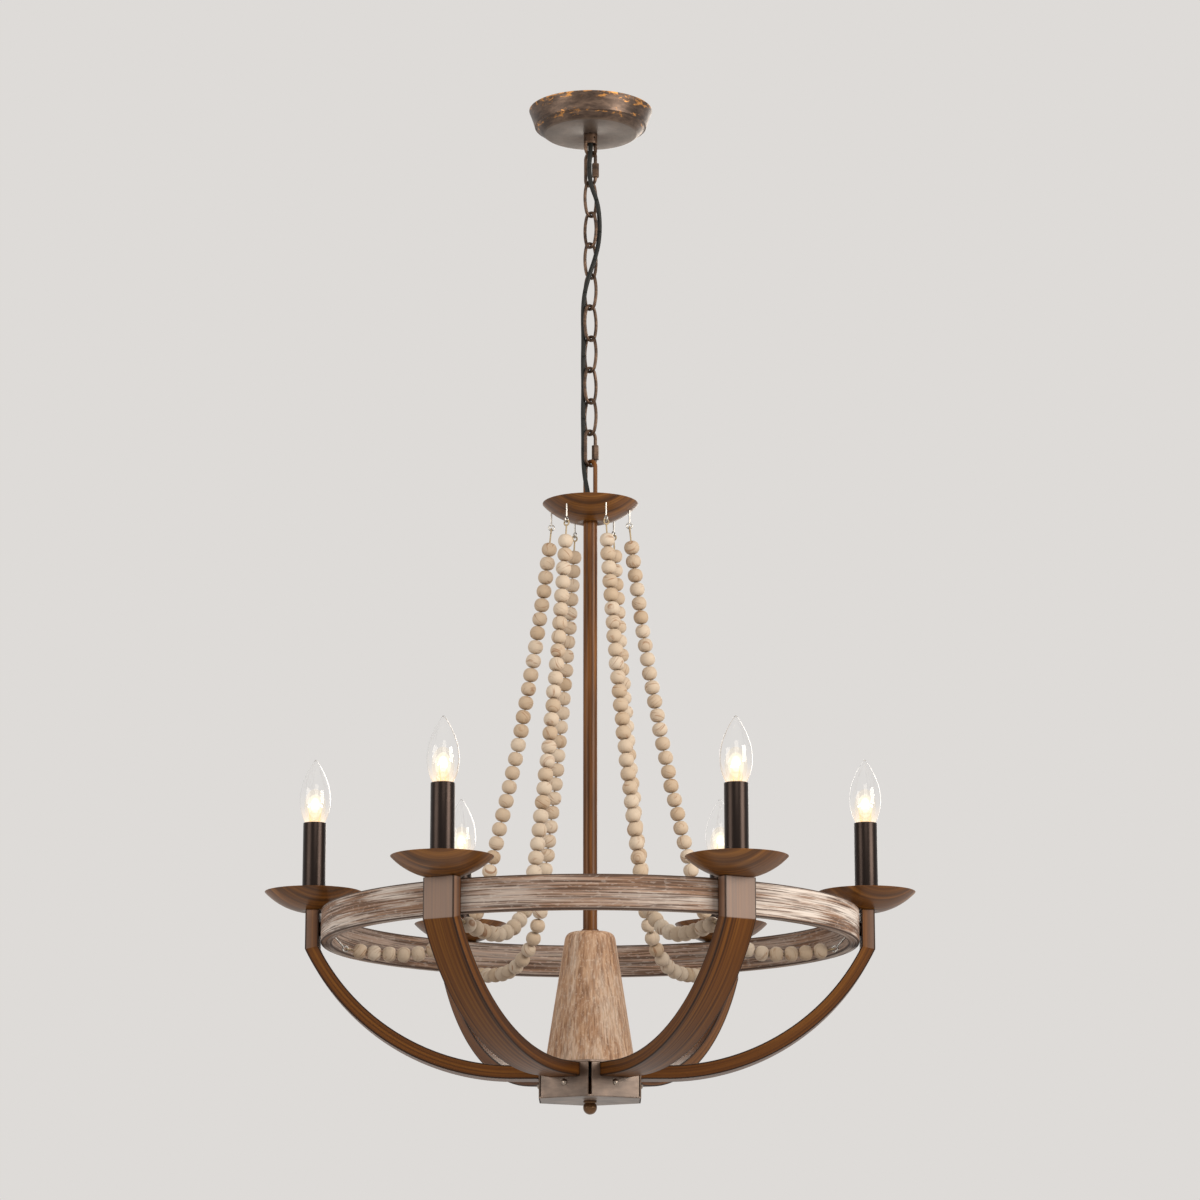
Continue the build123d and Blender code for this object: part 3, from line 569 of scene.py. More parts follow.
@dataclass(frozen=True)
class StageFloor(Finish):
    """Matt pale floor paint that looks as pale as the surround and still takes a shadow."""

    colour: str = "#dedbd8"
    shown: float = 0.45

    def paint(self, tree: bpy.types.NodeTree) -> Sockets:
        """Paint the floor and lift it where it is looked at.

        Args:
            tree: The material's node tree.

        Returns:
            The shader's sockets.
        """
        lift = add_node(tree, "ShaderNodeMapRange", links={"Value": seen_share(tree), "To Max": self.shown})
        return {
            "Base Color": linear(self.colour), "Roughness": 0.9,
            "Emission Color": linear(self.colour), "Emission Strength": lift,
        }


class Palette:
    """Every finish of the chandelier, by the piece it is on."""

    # Spun steel under bronze lacquer: dark brown and satin, with gold flecks where it was rubbed.
    CANOPY = AgedBronze(
        "bronze_lacquer_rubbed_on_spun_steel",
        bands=(
            (0.0, "#000000"), (0.1, "#686868"), (0.22, "#8a8a8a"), (0.36, "#8a8a8a"), (0.46, "#5e5e5e"),
            (0.64, "#626262"), (0.76, "#8a8a8a"), (0.93, "#8a8a8a"), (0.97, "#9c9c9c"),
        ),
    )
    # Bent steel wire in the same lacquer: darker, with short highlights that follow each bend.
    CHAIN = AgedBronze(
        "bronze_lacquer_on_bent_steel_wire", dark="#33251c", base="#4d3a2c", light="#665040", under="#4d3a2c",
        gold="#94683c", low_mm=-500.0, bands=((0.0, "#666666"), (1.0, "#666666")),
    )
    # Extruded PVC: black, with a soft shine along its length.
    CORD = PlainCoat(
        "black_pvc_extruded", colour="#141615", worn="#1c1e1d", roughness=0.55, gloss=0.25, patch_mm=12.0,
    )
    # Drawn steel tube in brown lacquer: dark red-brown with a narrow bright line down its side.
    STEM = StreakedPaint(
        "brown_lacquer_on_drawn_steel_tube", dark="#3d220c", base="#5d3817", light="#7a4e24",
        streak_mm=(4, 4, 140), line_mm=(1.6, 1.6, 80), roughness=0.3, gloss=0.16, coat=0.0,
    )
    # Steel tube painted and combed to look like dark wood: long satin streaks with darker edges, and a
    # painted sheen on the flat blocks, a paler colour standing in for the light their satin paint reflects.
    GRAIN = StreakedPaint(
        "grain_paint_combed_on_steel_tube", Space.GRAIN, dark="#3c2007", base="#603812", light="#734819",
        streak_mm=(300, 3.4, 3.4), line_mm=(220, 1.4, 1.4), line_share=0.6, roughness=0.36, gloss=0.2,
        coat=0.0, bar_half_mm=(19.0, 7.5), painted_sheen="#8a786f",
    )
    # The same paint brushed round spun bowls: a warmer brown with a wider shine.
    DISH = StreakedPaint(
        "grain_paint_brushed_on_spun_steel", Space.GRAIN, dark="#42260b", base="#683f16", light="#875824",
        streak_mm=(170, 6, 60), line_mm=(150, 1.7, 40), roughness=0.34, gloss=0.3, coat=0.05,
    )
    # Folded sheet steel in grey-brown enamel: dull, slightly metallic, streaked from side to side.
    HUB = StreakedPaint(
        "grey_brown_enamel_on_folded_steel", dark="#503f33", base="#6b584b", light="#836d5e",
        streak_mm=(30, 30, 18), line_mm=(14, 14, 1.5), line_share=0.3, roughness=0.42, metallic=0.25,
    )
    # Turned steel ball in the stem's lacquer: one small round highlight over brown.
    FINIAL = PlainCoat(
        "brown_lacquer_on_turned_steel", colour="#7a5632", worn="#4c341f", roughness=0.3, metallic=0.5,
    )
    # Bent pine, limewashed and sanded back: white left in patches, brown wood and dark scratches, with more
    # white towards its right and left as painted light.
    HOOP = WashedWood(
        "pine_limewashed_and_sanded", Space.GRAIN, wood="#775843", light_wood="#93745e", shade="#422d20",
        wash="#d8cfc8", patch_mm=(110, 13, 13), line_mm=(105, 2.2, 2.2), wash_from=0.43, wash_to=0.57,
        uneven="wash", scratch_from=0.54, scratch_share=0.75, flecks=0.18, bar_half_mm=(18.5, 6.0),
    )
    # Turned pine under a thinner wash: pale brown with fine upright lines.
    CONE = WashedWood(
        "pine_turned_and_limewashed", wood="#a37d5f", light_wood="#b99678", shade="#826047", wash="#dccbba",
        patch_mm=(22, 22, 150), line_mm=(3.0, 3.0, 180), wash_from=0.45, wash_to=0.66, wash_most=0.64,
        scratch_from=0.58, scratch_share=0.5, flecks=0.3, fleck_mm=(2.2, 2.2, 3.2),
    )
    # Turned and sanded beech, bare: pale and matt, with brown rings that differ from bead to bead.
    BEAD = BareWood("beech_turned_bare", Space.GRAIN)
    # Twisted cotton: a matt straw-coloured line.
    STRING = PlainCoat("cotton_string_twisted", colour="#b9a789", worn="#9b8868", roughness=0.7)
    # Rolled steel tube, chemically blackened: near black with a long soft reflection.
    SLEEVE = PlainCoat(
        "steel_tube_blackened", colour="#302926", worn="#282220", roughness=0.3, metallic=1.0, patch_mm=40.0,
    )
    # Nickel plate on a pressed screw head: a small bright spot.
    SCREW = PlainCoat(
        "nickel_plate_on_pressed_steel", colour="#a3978c", worn="#857a70", roughness=0.3, metallic=0.9,
    )
    # Forged bolt head, blackened in oil: dark with a thin bright rim.
    BOLT = PlainCoat(
        "steel_bolt_oil_blackened", colour="#3c332d", worn="#574a40", roughness=0.35, metallic=0.7,
    )
    # Drawn steel wire, left bright: a thin light line.
    WIRE = PlainCoat(
        "steel_wire_drawn_bright", colour="#c4c2be", worn="#8f8d8a", roughness=0.22, metallic=1.0,
    )
    # Zinc plate on rolled strip: dull blue-grey.
    ZINC = PlainCoat(
        "zinc_plate_on_rolled_steel", colour="#90918d", worn="#767773", roughness=0.45, metallic=0.9,
    )
    # Moulded phenolic: black with hardly any shine.
    HOLDER = PlainCoat("black_phenolic_moulded", colour="#1c1b1a", worn="#242322", roughness=0.55)
    # Pressed brass shell: yellow metal with a clear shine.
    BASE = PlainCoat("brass_pressed", colour="#b99a5e", worn="#a3864f", roughness=0.3, metallic=1.0)
    # Blown soda-lime glass: clear, seen by its bright rim and the warm light low in it.
    GLASS = LampGlass("soda_lime_glass_blown")
    # Coiled tungsten at white heat: the brightest thing in the picture.
    FILAMENT = Glow("tungsten_coil_lit", colour="#fff4dc", strength=10.0)
    # The leads beside it, painted glowing as the filament lights them: amber lines.
    LEAD = Glow("lead_wire_lit", colour="#ffcf8a", strength=1.3)
    # The blur that the eye sees round a lit filament: white inside, amber at the foot.
    HALOS = (
        Glow("lit_filament_core", colour="#fff6e2", strength=1.8, cover=0.6),
        Glow("lit_filament_near", colour="#fff4dc", strength=1.3, cover=0.4),
        Glow("lit_filament_far", colour="#ffeccb", strength=1.0, cover=0.16),
        Glow("lit_filament_foot", colour="#ffcb84", strength=1.0, cover=0.24),
    )
    # Floor paint, rolled on matt: no shine, only a soft shadow.
    FLOOR = StageFloor("floor_paint_rolled_matt")


def spread(first: float, last: float, steps: int) -> list[float]:
    """Even values from first to last, with both of them."""
    return [first + (last - first) * i / steps for i in range(steps + 1)]


def ring_turns(count: int) -> list[float]:
    """Even angles once round a circle, from zero."""
    return spread(0.0, 2 * math.pi, count)[:-1]


def arc_through(start: Point2, middle: Point2, end: Point2, steps: int) -> list[Point2]:
    """Walk the circle through three points.

    Args:
        start: First point, left out of the result.
        middle: A point on the way.
        end: Last point.
        steps: How many points to return.

    Returns:
        The points after start, up to end.
    """
    (ax, az), (bx, bz), (cx, cz) = start, middle, end
    cross = 2 * (ax * (bz - cz) + bx * (cz - az) + cx * (az - bz))
    a2, b2, c2 = ax * ax + az * az, bx * bx + bz * bz, cx * cx + cz * cz
    ox = (a2 * (bz - cz) + b2 * (cz - az) + c2 * (az - bz)) / cross
    oz = (a2 * (cx - bx) + b2 * (ax - cx) + c2 * (bx - ax)) / cross
    first = math.atan2(az - oz, ax - ox)
    sweep = math.atan2(cz - oz, cx - ox) - first
    sweep = (sweep + math.pi) % (2 * math.pi) - math.pi
    radius = math.hypot(ax - ox, az - oz)
    turns = spread(first, first + sweep, steps)[1:]
    return [(ox + radius * math.cos(t), oz + radius * math.sin(t)) for t in turns]


def soften(line: Sequence[Point2], radius: float, closed: bool = False, steps: int = 3) -> list[Point2]:
    """Round the corners of an outline.

    Args:
        line: The outline's points.
        radius: How far from each corner the rounding starts.
        closed: Whether the last point joins the first.
        steps: How many pieces each rounded corner has.

    Returns:
        The new outline.
    """
    out: list[Point2] = []
    count = len(line)
    for i, corner in enumerate(line):
        if not closed and i in (0, count - 1):
            out.append(corner)
            continue
        ends = []
        for other in (line[i - 1], line[(i + 1) % count]):
            away = math.dist(corner, other)
            share = min(radius, 0.45 * away) / away
            ends.append(tuple(c + (o - c) * share for c, o in zip(corner, other)))
        points = (ends[0], corner, ends[1])
        for t in spread(0.0, 1.0, steps):
            weights = ((1 - t) ** 2, 2 * t * (1 - t), t * t)
            out.append(tuple(sum(w * p[k] for w, p in zip(weights, points)) for k in (0, 1)))
    return out


def finish_mesh(
    name: str, mesh: bmesh.types.BMesh, finish: Finish, body: str | None, replaced: Sequence[str] = (),
) -> bpy.types.Object:
    """Turn a mesh in millimetres into a dressed piece that rides on a body.

    Args:
        name: The piece's name.
        mesh: The mesh, freed here.
        finish: The finish it gets.
        body: The body it rides on, or None for a cord's span or the floor, whose flat ends stay sharp.
        replaced: The frame's nodes that it stands for.

    Returns:
        The new object.
    """
    bmesh.ops.remove_doubles(mesh, verts=mesh.verts, dist=TINY)
    bmesh.ops.recalc_face_normals(mesh, faces=mesh.faces)
    for face in mesh.faces:
        face.smooth = body is not None or len(face.verts) == 4
    bmesh.ops.scale(mesh, vec=(MM, MM, MM), verts=mesh.verts)
    data = bpy.data.meshes.new(name)
    mesh.to_mesh(data)
    mesh.free()
    data.materials.append(finish.material())
    piece = bpy.data.objects.new(name, data)
    bpy.context.scene.collection.objects.link(piece)
    if body:
        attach(piece, body)
    if replaced:
        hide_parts(*replaced)
    LOG.info("piece %s on %s, %d faces", name, body or "no one body", len(data.polygons))
    return piece


def stitch(
    mesh: bmesh.types.BMesh, rings: Sequence[Sequence[bmesh.types.BMVert]],
    loop: bool = False, caps: bool = False,
) -> None:
    """Join rings of vertices with faces.

    Args:
        mesh: The mesh that gets the faces.
        rings: The rings in order; one that is a single vertex is listed as often as its neighbour's.
        loop: Whether the last ring joins the first.
        caps: Whether the first and the last ring are filled.
    """
    for low, high in zip(rings, [*rings[1:], *(rings[:1] if loop else [])]):
        for i in range(len(low)):
            j = (i + 1) % len(low)
            corners = list(dict.fromkeys((low[i], low[j], high[j], high[i])))
            if len(corners) > 2:
                mesh.faces.new(corners)
    if caps:
        mesh.faces.new(rings[0])
        mesh.faces.new(rings[-1])


def turn_on_lathe(
    mesh: bmesh.types.BMesh, line: Sequence[Point2], place: Matrix, steps: int = 96, closed: bool = False,
) -> list[bmesh.types.BMVert]:
    """Add an outline turned about its own Z axis.

    Args:
        mesh: The mesh that gets it.
        line: Points (radius, height).
        place: Where the turned piece goes.
        steps: Pieces round the turn.
        closed: Whether the outline is a loop.

    Returns:
        The new vertices.
    """
    rings = []
    for radius, height in line:
        if radius < TINY:
            rings.append([mesh.verts.new(place @ Vector((0, 0, height)))] * steps)
            continue
        spots = [Vector((radius * math.cos(t), radius * math.sin(t), height)) for t in ring_turns(steps)]
        rings.append([mesh.verts.new(place @ spot) for spot in spots])
    stitch(mesh, rings, closed)
    return [vert for ring in rings for vert in dict.fromkeys(ring)]


def add_plate(mesh: bmesh.types.BMesh, line: Sequence[Point2], thickness: float, place: Matrix) -> None:
    """Add a flat plate that stands on its own XY plane.

    Args:
        mesh: The mesh that gets it.
        line: The plate's outline.
        thickness: How far it stands up.
        place: Where the plate goes.
    """
    rings = [[mesh.verts.new(place @ Vector((x, y, z))) for x, y in line] for z in (0, thickness)]
    stitch(mesh, rings, caps=True)


def add_tube(
    mesh: bmesh.types.BMesh, path: Sequence[Vector], radius: float, sides: int = 12, loop: bool = False,
) -> None:
    """Add a round tube along a path, with caps unless the path is a loop.

    Args:
        mesh: The mesh that gets it.
        path: The points along its middle.
        radius: The tube's radius.
        sides: Pieces round the tube.
        loop: Whether the path's last point joins the first.
    """
    count = len(path)
    side = Vector((0, 1, 0))
    rings = []
    for i, here in enumerate(path):
        after = path[(i + 1) % count] if loop or i + 1 < count else here
        before = path[i - 1] if loop or i else here
        run = (after - before).normalized()
        side = (side - run * side.dot(run)).normalized()
        other = run.cross(side)
        spokes = [math.cos(t) * side + math.sin(t) * other for t in ring_turns(sides)]
        rings.append([mesh.verts.new(here + radius * spoke) for spoke in spokes])
    stitch(mesh, rings, loop, caps=not loop)


def store(piece: bpy.types.Object, name: str, rule: Callable[[Vector], object]) -> None:
    """Keep a value for each vertex of a piece, for its material to read.

    Args:
        piece: The piece.
        name: The attribute's name.
        rule: Gives a number or a vector in metres from a vertex's place in millimetres.
    """
    values = [rule(vert.co / MM) for vert in piece.data.vertices]
    if isinstance(values[0], (int, float)):
        layer = piece.data.attributes.new(name, "FLOAT", "POINT")
        layer.data.foreach_set("value", values)
    else:
        layer = piece.data.attributes.new(name, "FLOAT_VECTOR", "POINT")
        layer.data.foreach_set("vector", [part for value in values for part in value])


def ease_edges(piece: bpy.types.Object, width_mm: float, angle_deg: float = 30.0) -> None:
    """Round a piece's sharp edges a little, as folding, sanding or paint does.

    Args:
        piece: The piece.
        width_mm: How wide each rounding is.
        angle_deg: How sharp an edge must be to get one.
    """
    bevel = piece.modifiers.new("eased_edges", "BEVEL")
    bevel.width = width_mm * MM
    bevel.segments = 2
    bevel.limit_method = "ANGLE"
    bevel.angle_limit = math.radians(angle_deg)
    bevel.harden_normals = True


def arm_turn(index: int) -> Matrix:
    """The turn about the stem from the first arm to another."""
    return Matrix.Rotation(2 * math.pi * index / ARM_COUNT, 4, "Z")


@dataclass
class Dish:
    """A spun bowl with a flat seat and a rounded lip."""

    rim_r: float
    depth: float
    bore_r: float
    flat_r: float = 16.0
    wall: float = 1.8
    lip_round: float = 0.8

    def line(self) -> list[Point2]:
        """The bowl's outline, standing on height 0.

        Returns:
            Points (radius, height).
        """
        centre = (self.rim_r**2 + self.depth**2 - self.flat_r**2) / (2 * self.depth)
        outer = math.hypot(centre, self.flat_r)
        inner = outer - self.wall
        floor_r = math.sqrt(inner**2 - (centre - self.wall) ** 2)
        lip_r = math.sqrt(inner**2 - (centre - self.depth) ** 2)
        middle = (self.flat_r + self.rim_r) / 2
        under = (middle, centre - math.sqrt(outer**2 - middle**2))
        over = (middle, centre - math.sqrt(inner**2 - middle**2))
        seat, rim = (self.flat_r, 0.0), (self.rim_r, self.depth)
        lip, floor = (lip_r, self.depth), (floor_r, self.wall)
        side = arc_through(seat, under, rim, 16)
        back = arc_through(lip, over, floor, 16)
        edge = soften([side[-2], rim, lip, back[0]], self.lip_round)
        return [(self.bore_r, 0.0), seat, *side[:-2], *edge, *back[1:], (self.bore_r, self.wall)]


@dataclass
class Canopy:
    """The cup at the ceiling, its loop and the hidden fixing."""

    rim_r: float = 72.0
    step_r: float = 65.0
    base_r: float = 53.5
    height: float = 29.0
    step_depth: float = 20.5
    step_in: float = 2.2
    wall: float = 1.2
    side_bulge: float = -0.4
    edge_bulge: float = 0.5
    edge_round: float = 0.5
    hole_r: float = 5.2

    def bulged(self, start: Point2, end: Point2, bulge: float, steps: int) -> list[Point2]:
        """Walk an arc that stands out from its chord.

        Args:
            start: First point, left out of the result.
            end: Last point.
            bulge: How far the arc stands out to the left of the way from start to end.
            steps: How many points to return.

        Returns:
            The points after start, up to end.
        """
        run = (end[0] - start[0], end[1] - start[1])
        length = math.hypot(*run)
        middle = (
            (start[0] + end[0]) / 2 - run[1] / length * bulge,
            (start[1] + end[1]) / 2 + run[0] / length * bulge,
        )
        return arc_through(start, middle, end, steps)

    def line(self) -> list[Point2]:
        """The cup's outline, from the hole out to the rim and back inside.

        Returns:
            Points (radius, height).
        """
        ledge_r = self.step_r - self.step_in
        base, ledge = (self.base_r, -self.height), (ledge_r, -self.step_depth)
        step, rim = (self.step_r, -self.step_depth), (self.rim_r, 0.0)
        inner_rim = (self.rim_r - self.wall, 0.0)
        inner_step = (ledge_r - self.wall, -self.step_depth)
        floor_z = -self.height + self.wall
        floor = (self.base_r - self.wall / 2, floor_z)
        line = [(self.hole_r, -self.height), base, *self.bulged(base, ledge, -self.edge_bulge, 8)]
        line += [step, *self.bulged(step, rim, -self.side_bulge, 12)]
        line += [inner_rim, *self.bulged(inner_rim, inner_step, self.side_bulge, 10)]
        line += [*self.bulged(inner_step, floor, self.edge_bulge, 8), (self.hole_r, floor_z)]
        return soften(line, self.edge_round, closed=True, steps=2)

    def build(self, nodes: dict[str, bpy.types.Object]) -> None:
        """Turn the cup and dress the loop and the fixing.

        Args:
            nodes: The frame's nodes by name.
        """
        mesh = bmesh.new()
        turn_on_lathe(mesh, self.line(), Matrix(), 144, closed=True)
        finish_mesh("canopy_shell", mesh, Palette.CANOPY, Body.CEILING.value, ["canopy_cup"])
        dress(nodes, Palette.CHAIN, "canopy_loop")
        dress(nodes, Palette.ZINC, "mounting_strap", "strap_nipple", "nipple_nuts")
        dress(nodes, Palette.CORD, "ceiling_leads")


@dataclass
class Chain:
    """The links between the canopy and the lamp, and the cord that runs beside them."""

    link_count: int = 8
    cord_d: float = 5.2
    first_pivot: float = -55.0
    second_pivot: float = -91.7
    first_pitch: float = 37.4
    link_pitch: float = 37.5
    lower_drop: float = 36.8
    bend_reach: float = 7.0
    route: tuple[Point3, ...] = (
        (0.0, 0.0, -20.0), (0.0, 0.3, -31.9), (0.0, -3.2, -42.2), (-0.2, -8.0, -53.6),
        (-2.0, -8.4, -74.2), (0.3, -9.3, -94.3), (8.4, -4.6, -113.4), (11.0, 0.8, -137.5),
        (9.8, -1.8, -161.6), (5.0, -7.4, -183.8), (-2.0, -8.8, -204.9), (-7.4, -4.4, -225.0),
        (-8.8, 0.8, -248.1), (-8.0, 1.8, -276.2), (-8.6, -0.6, -306.4), (-8.0, 0.4, -336.6),
        (-8.6, -0.4, -366.7), (-8.0, 0.8, -394.9), (-8.2, 0.2, -419.0), (-6.8, -0.6, -441.0),
        (-2.2, -0.2, -463.0), (0.0, 0.2, -483.0), (0.0, 0.0, -501.0),
    )

    def pivots(self) -> list[float]:
        """The heights of the hinges, from the canopy's bail down to the hanger loop.

        Returns:
            One height a hinge.
        """
        first = self.second_pivot - self.first_pitch
        links = [first - self.link_pitch * i for i in range(self.link_count)]
        return [self.first_pivot, self.second_pivot, *links, links[-1] - self.lower_drop]

    def cord_line(self) -> list[Vector]:
        """Points in millimetres along the smooth line of the cord's route.

        Returns:
            The points, from the canopy down.
        """
        curve = bpy.data.curves.new("cord_route", "CURVE")
        curve.dimensions = "3D"
        curve.resolution_u = 12
        spline = curve.splines.new("NURBS")
        spline.points.add(len(self.route) - 1)
        for point, place in zip(spline.points, self.route):
            point.co = (*place, 1.0)
        spline.order_u = 3
        spline.use_endpoint_u = True
        holder = bpy.data.objects.new("cord_route", curve)
        line = bpy.data.meshes.new_from_object(holder)
        points = [vert.co.copy() for vert in line.vertices]
        bpy.data.objects.remove(holder)
        bpy.data.curves.remove(curve)
        bpy.data.meshes.remove(line)
        return points

    def build(self, nodes: dict[str, bpy.types.Object]) -> None:
        """Dress the links and make the cord in spans, one across each hinge.

        Args:
            nodes: The frame's nodes by name.
        """
        links = [f"chain_link_{i + 1}" for i in range(self.link_count)]
        quick = ["upper_quick_link", "lower_quick_link", "upper_sleeve_nut", "lower_sleeve_nut"]
        dress(nodes, Palette.CHAIN, *links, *quick)
        bodies = [Body.CEILING.value, "upper_link", *[f"chain_{i + 1}" for i in range(self.link_count)]]
        bodies += ["lower_link", Body.LAMP.value]
        pivots = self.pivots()
        breaks = [(a + b) / 2 for a, b in zip(pivots, pivots[1:])]
        line = self.cord_line()
        joins = [min(range(len(line)), key=lambda i: abs(line[i].z - z)) for z in breaks]
        ends = [0, *joins, len(line) - 1]
        for k, pivot in enumerate(pivots):
            path = line[ends[k]:ends[k + 1] + 1]
            mesh = bmesh.new()
            add_tube(mesh, path, self.cord_d / 2, 16)
            span = finish_mesh(f"cord_span_{k + 1}", mesh, Palette.CORD, None)
            start = Vector((0, 0, pivot + self.bend_reach)) * MM
            end = Vector((0, 0, pivot - self.bend_reach)) * MM
            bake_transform(span, bodies[k], bodies[k + 1], start=tuple(start), end=tuple(end))
            if k == 0:
                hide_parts("supply_cord")


def dress(nodes: dict[str, bpy.types.Object], finish: Finish, *names: str) -> None:
    """Give nodes of the frame a finish.

    Args:
        nodes: The frame's nodes by name.
        finish: The finish they get.
        names: The nodes to dress.
    """
    for name in names:
        data = nodes[name].data
        data.materials.clear()
        data.materials.append(finish.material())
        LOG.info("node %s in %s", name, finish.name)


@dataclass
class StemLine:
    """The hanger loop, top dish, stem, cone, hub and finial."""

    dish_z: float = -496.0
    dish_r: float = 55.0
    dish_depth: float = 22.5
    dish_bore_r: float = 6.7
    stem_r: float = 8.0
    cone_z: float = -966.0
    cone_low_z: float = -1113.0
    cone_top_r: float = 27.0
    cone_base_r: float = 50.0
    cone_play: float = 0.2
    cone_edge: float = 1.2
    shoulder: float = 9.0
    lid_thickness: float = 2.5
    apothem: float = 56.31
    tray_z: float = -1153.0
    tray_top_z: float = -1115.5
    arm_low_z: float = -1130.5
    notch_half: float = 19.2
    sheet: float = 2.0
    fold: float = 0.5
    corner_slit: float = 4.5
    ball_r: float = 7.7
    ball_drop: float = 7.4
    collar_r: float = 7.4
    collar_height: float = 2.5
    collar_round: float = 0.7

    def hexagon(self) -> list[Point2]:
        """The hub's outline, with the middle of one side on +X.

        Returns:
            Its six corners (x, y).
        """
        reach = self.apothem / math.cos(math.pi / ARM_COUNT)
        turns = [t + math.pi / ARM_COUNT for t in ring_turns(ARM_COUNT)]
        return [(reach * math.cos(t), reach * math.sin(t)) for t in turns]

    def flap(self) -> list[Point2]:
        """One side of the tray, notched from its top for an arm, as (across, up).

        Returns:
            Its corners.
        """
        slit_share = self.corner_slit / (2 * math.cos(math.pi / ARM_COUNT))
        half = self.apothem * math.tan(math.pi / ARM_COUNT) - slit_share
        top = self.tray_top_z - self.tray_z
        sill = self.arm_low_z - self.tray_z
        edge = self.notch_half
        return [
            (-half, 0.0), (half, 0.0), (half, top), (edge, top), (edge, sill), (-edge, sill),
            (-edge, top), (-half, top),
        ]

    def build(self, nodes: dict[str, bpy.types.Object]) -> None:
        """Build the line of pieces from the hanger loop down to the finial.

        Args:
            nodes: The frame's nodes by name.
        """
        dress(nodes, Palette.STEM, "hanger_loop", "stem_tube", "stem_collar")
        dress(nodes, Palette.HOLDER, "wire_junction")
        dress(nodes, Palette.CORD, "lamp_wiring")
        self.build_dish()
        self.build_cone()
        self.build_hub()
        self.build_finial()

    def build_dish(self) -> None:
        """Make the bowl on top of the stem."""
        mesh = bmesh.new()
        line = Dish(self.dish_r, self.dish_depth, self.dish_bore_r).line()
        turn_on_lathe(mesh, line, Matrix.Translation((0, 0, self.dish_z)), closed=True)
        bowl = finish_mesh("top_bowl", mesh, Palette.DISH, Body.LAMP.value, ["top_dish"])
        store(bowl, "grain", lambda co: co * MM)

    def build_cone(self) -> None:
        """Turn the wooden cone."""
        bore = self.stem_r + self.cone_play
        corners = [
            (bore, self.cone_low_z), (self.cone_base_r, self.cone_low_z), (self.cone_top_r, self.cone_z),
            (bore, self.cone_z),
        ]
        base = soften(corners, self.cone_edge)[1:5]
        top = soften(corners[1:], self.shoulder, steps=6)[1:-1]
        rise = list(zip(*(spread(a, b, 24)[1:-1] for a, b in zip(base[-1], top[0]))))
        mesh = bmesh.new()
        turn_on_lathe(mesh, [corners[0], *base, *rise, *top, corners[3]], Matrix(), 128, closed=True)
        finish_mesh("wooden_cone", mesh, Palette.CONE, Body.LAMP.value, ["cone"])

    def build_hub(self) -> None:
        """Fold the tray's sides up and lay the lid on them."""
        mesh = bmesh.new()
        add_plate(mesh, self.hexagon(), self.sheet, Matrix.Translation((0, 0, self.tray_z)))
        stand = Matrix(((0, 0, 1, 0), (1, 0, 0, 0), (0, 1, 0, 0), (0, 0, 0, 1)))
        upright = Matrix.Translation((self.apothem - self.sheet, 0, self.tray_z)) @ stand
        for index in range(ARM_COUNT):
            add_plate(mesh, self.flap(), self.sheet, arm_turn(index) @ upright)
        tray = finish_mesh("folded_hub", mesh, Palette.HUB, Body.LAMP.value, ["hub_tray"])
        ease_edges(tray, self.fold)
        mesh = bmesh.new()
        add_plate(mesh, self.hexagon(), self.lid_thickness, Matrix.Translation((0, 0, self.tray_top_z)))
        lid = finish_mesh("hub_cover", mesh, Palette.HUB, Body.LAMP.value, ["hub_lid"])
        ease_edges(lid, self.fold)

    def build_finial(self) -> None:
        """Turn the ball under the hub."""
        collar_low = self.tray_z - self.collar_height
        centre = self.tray_z - self.ball_drop
        neck = math.acos((centre - collar_low) / -self.ball_r)
        turns = spread(math.pi, neck, 20)
        ball = [(self.ball_r * math.sin(t), centre + self.ball_r * math.cos(t)) for t in turns]
        ball[0] = (0.0, centre - self.ball_r)
        rim = [(self.collar_r, collar_low), (self.collar_r, self.tray_z)]
        collar = soften([ball[-1], *rim, (0.0, self.tray_z)], self.collar_round)
        mesh = bmesh.new()
        turn_on_lathe(mesh, [*ball, *collar[1:]], Matrix(), 64)
        finish_mesh("ball_finial", mesh, Palette.FINIAL, Body.LAMP.value, ["finial"])


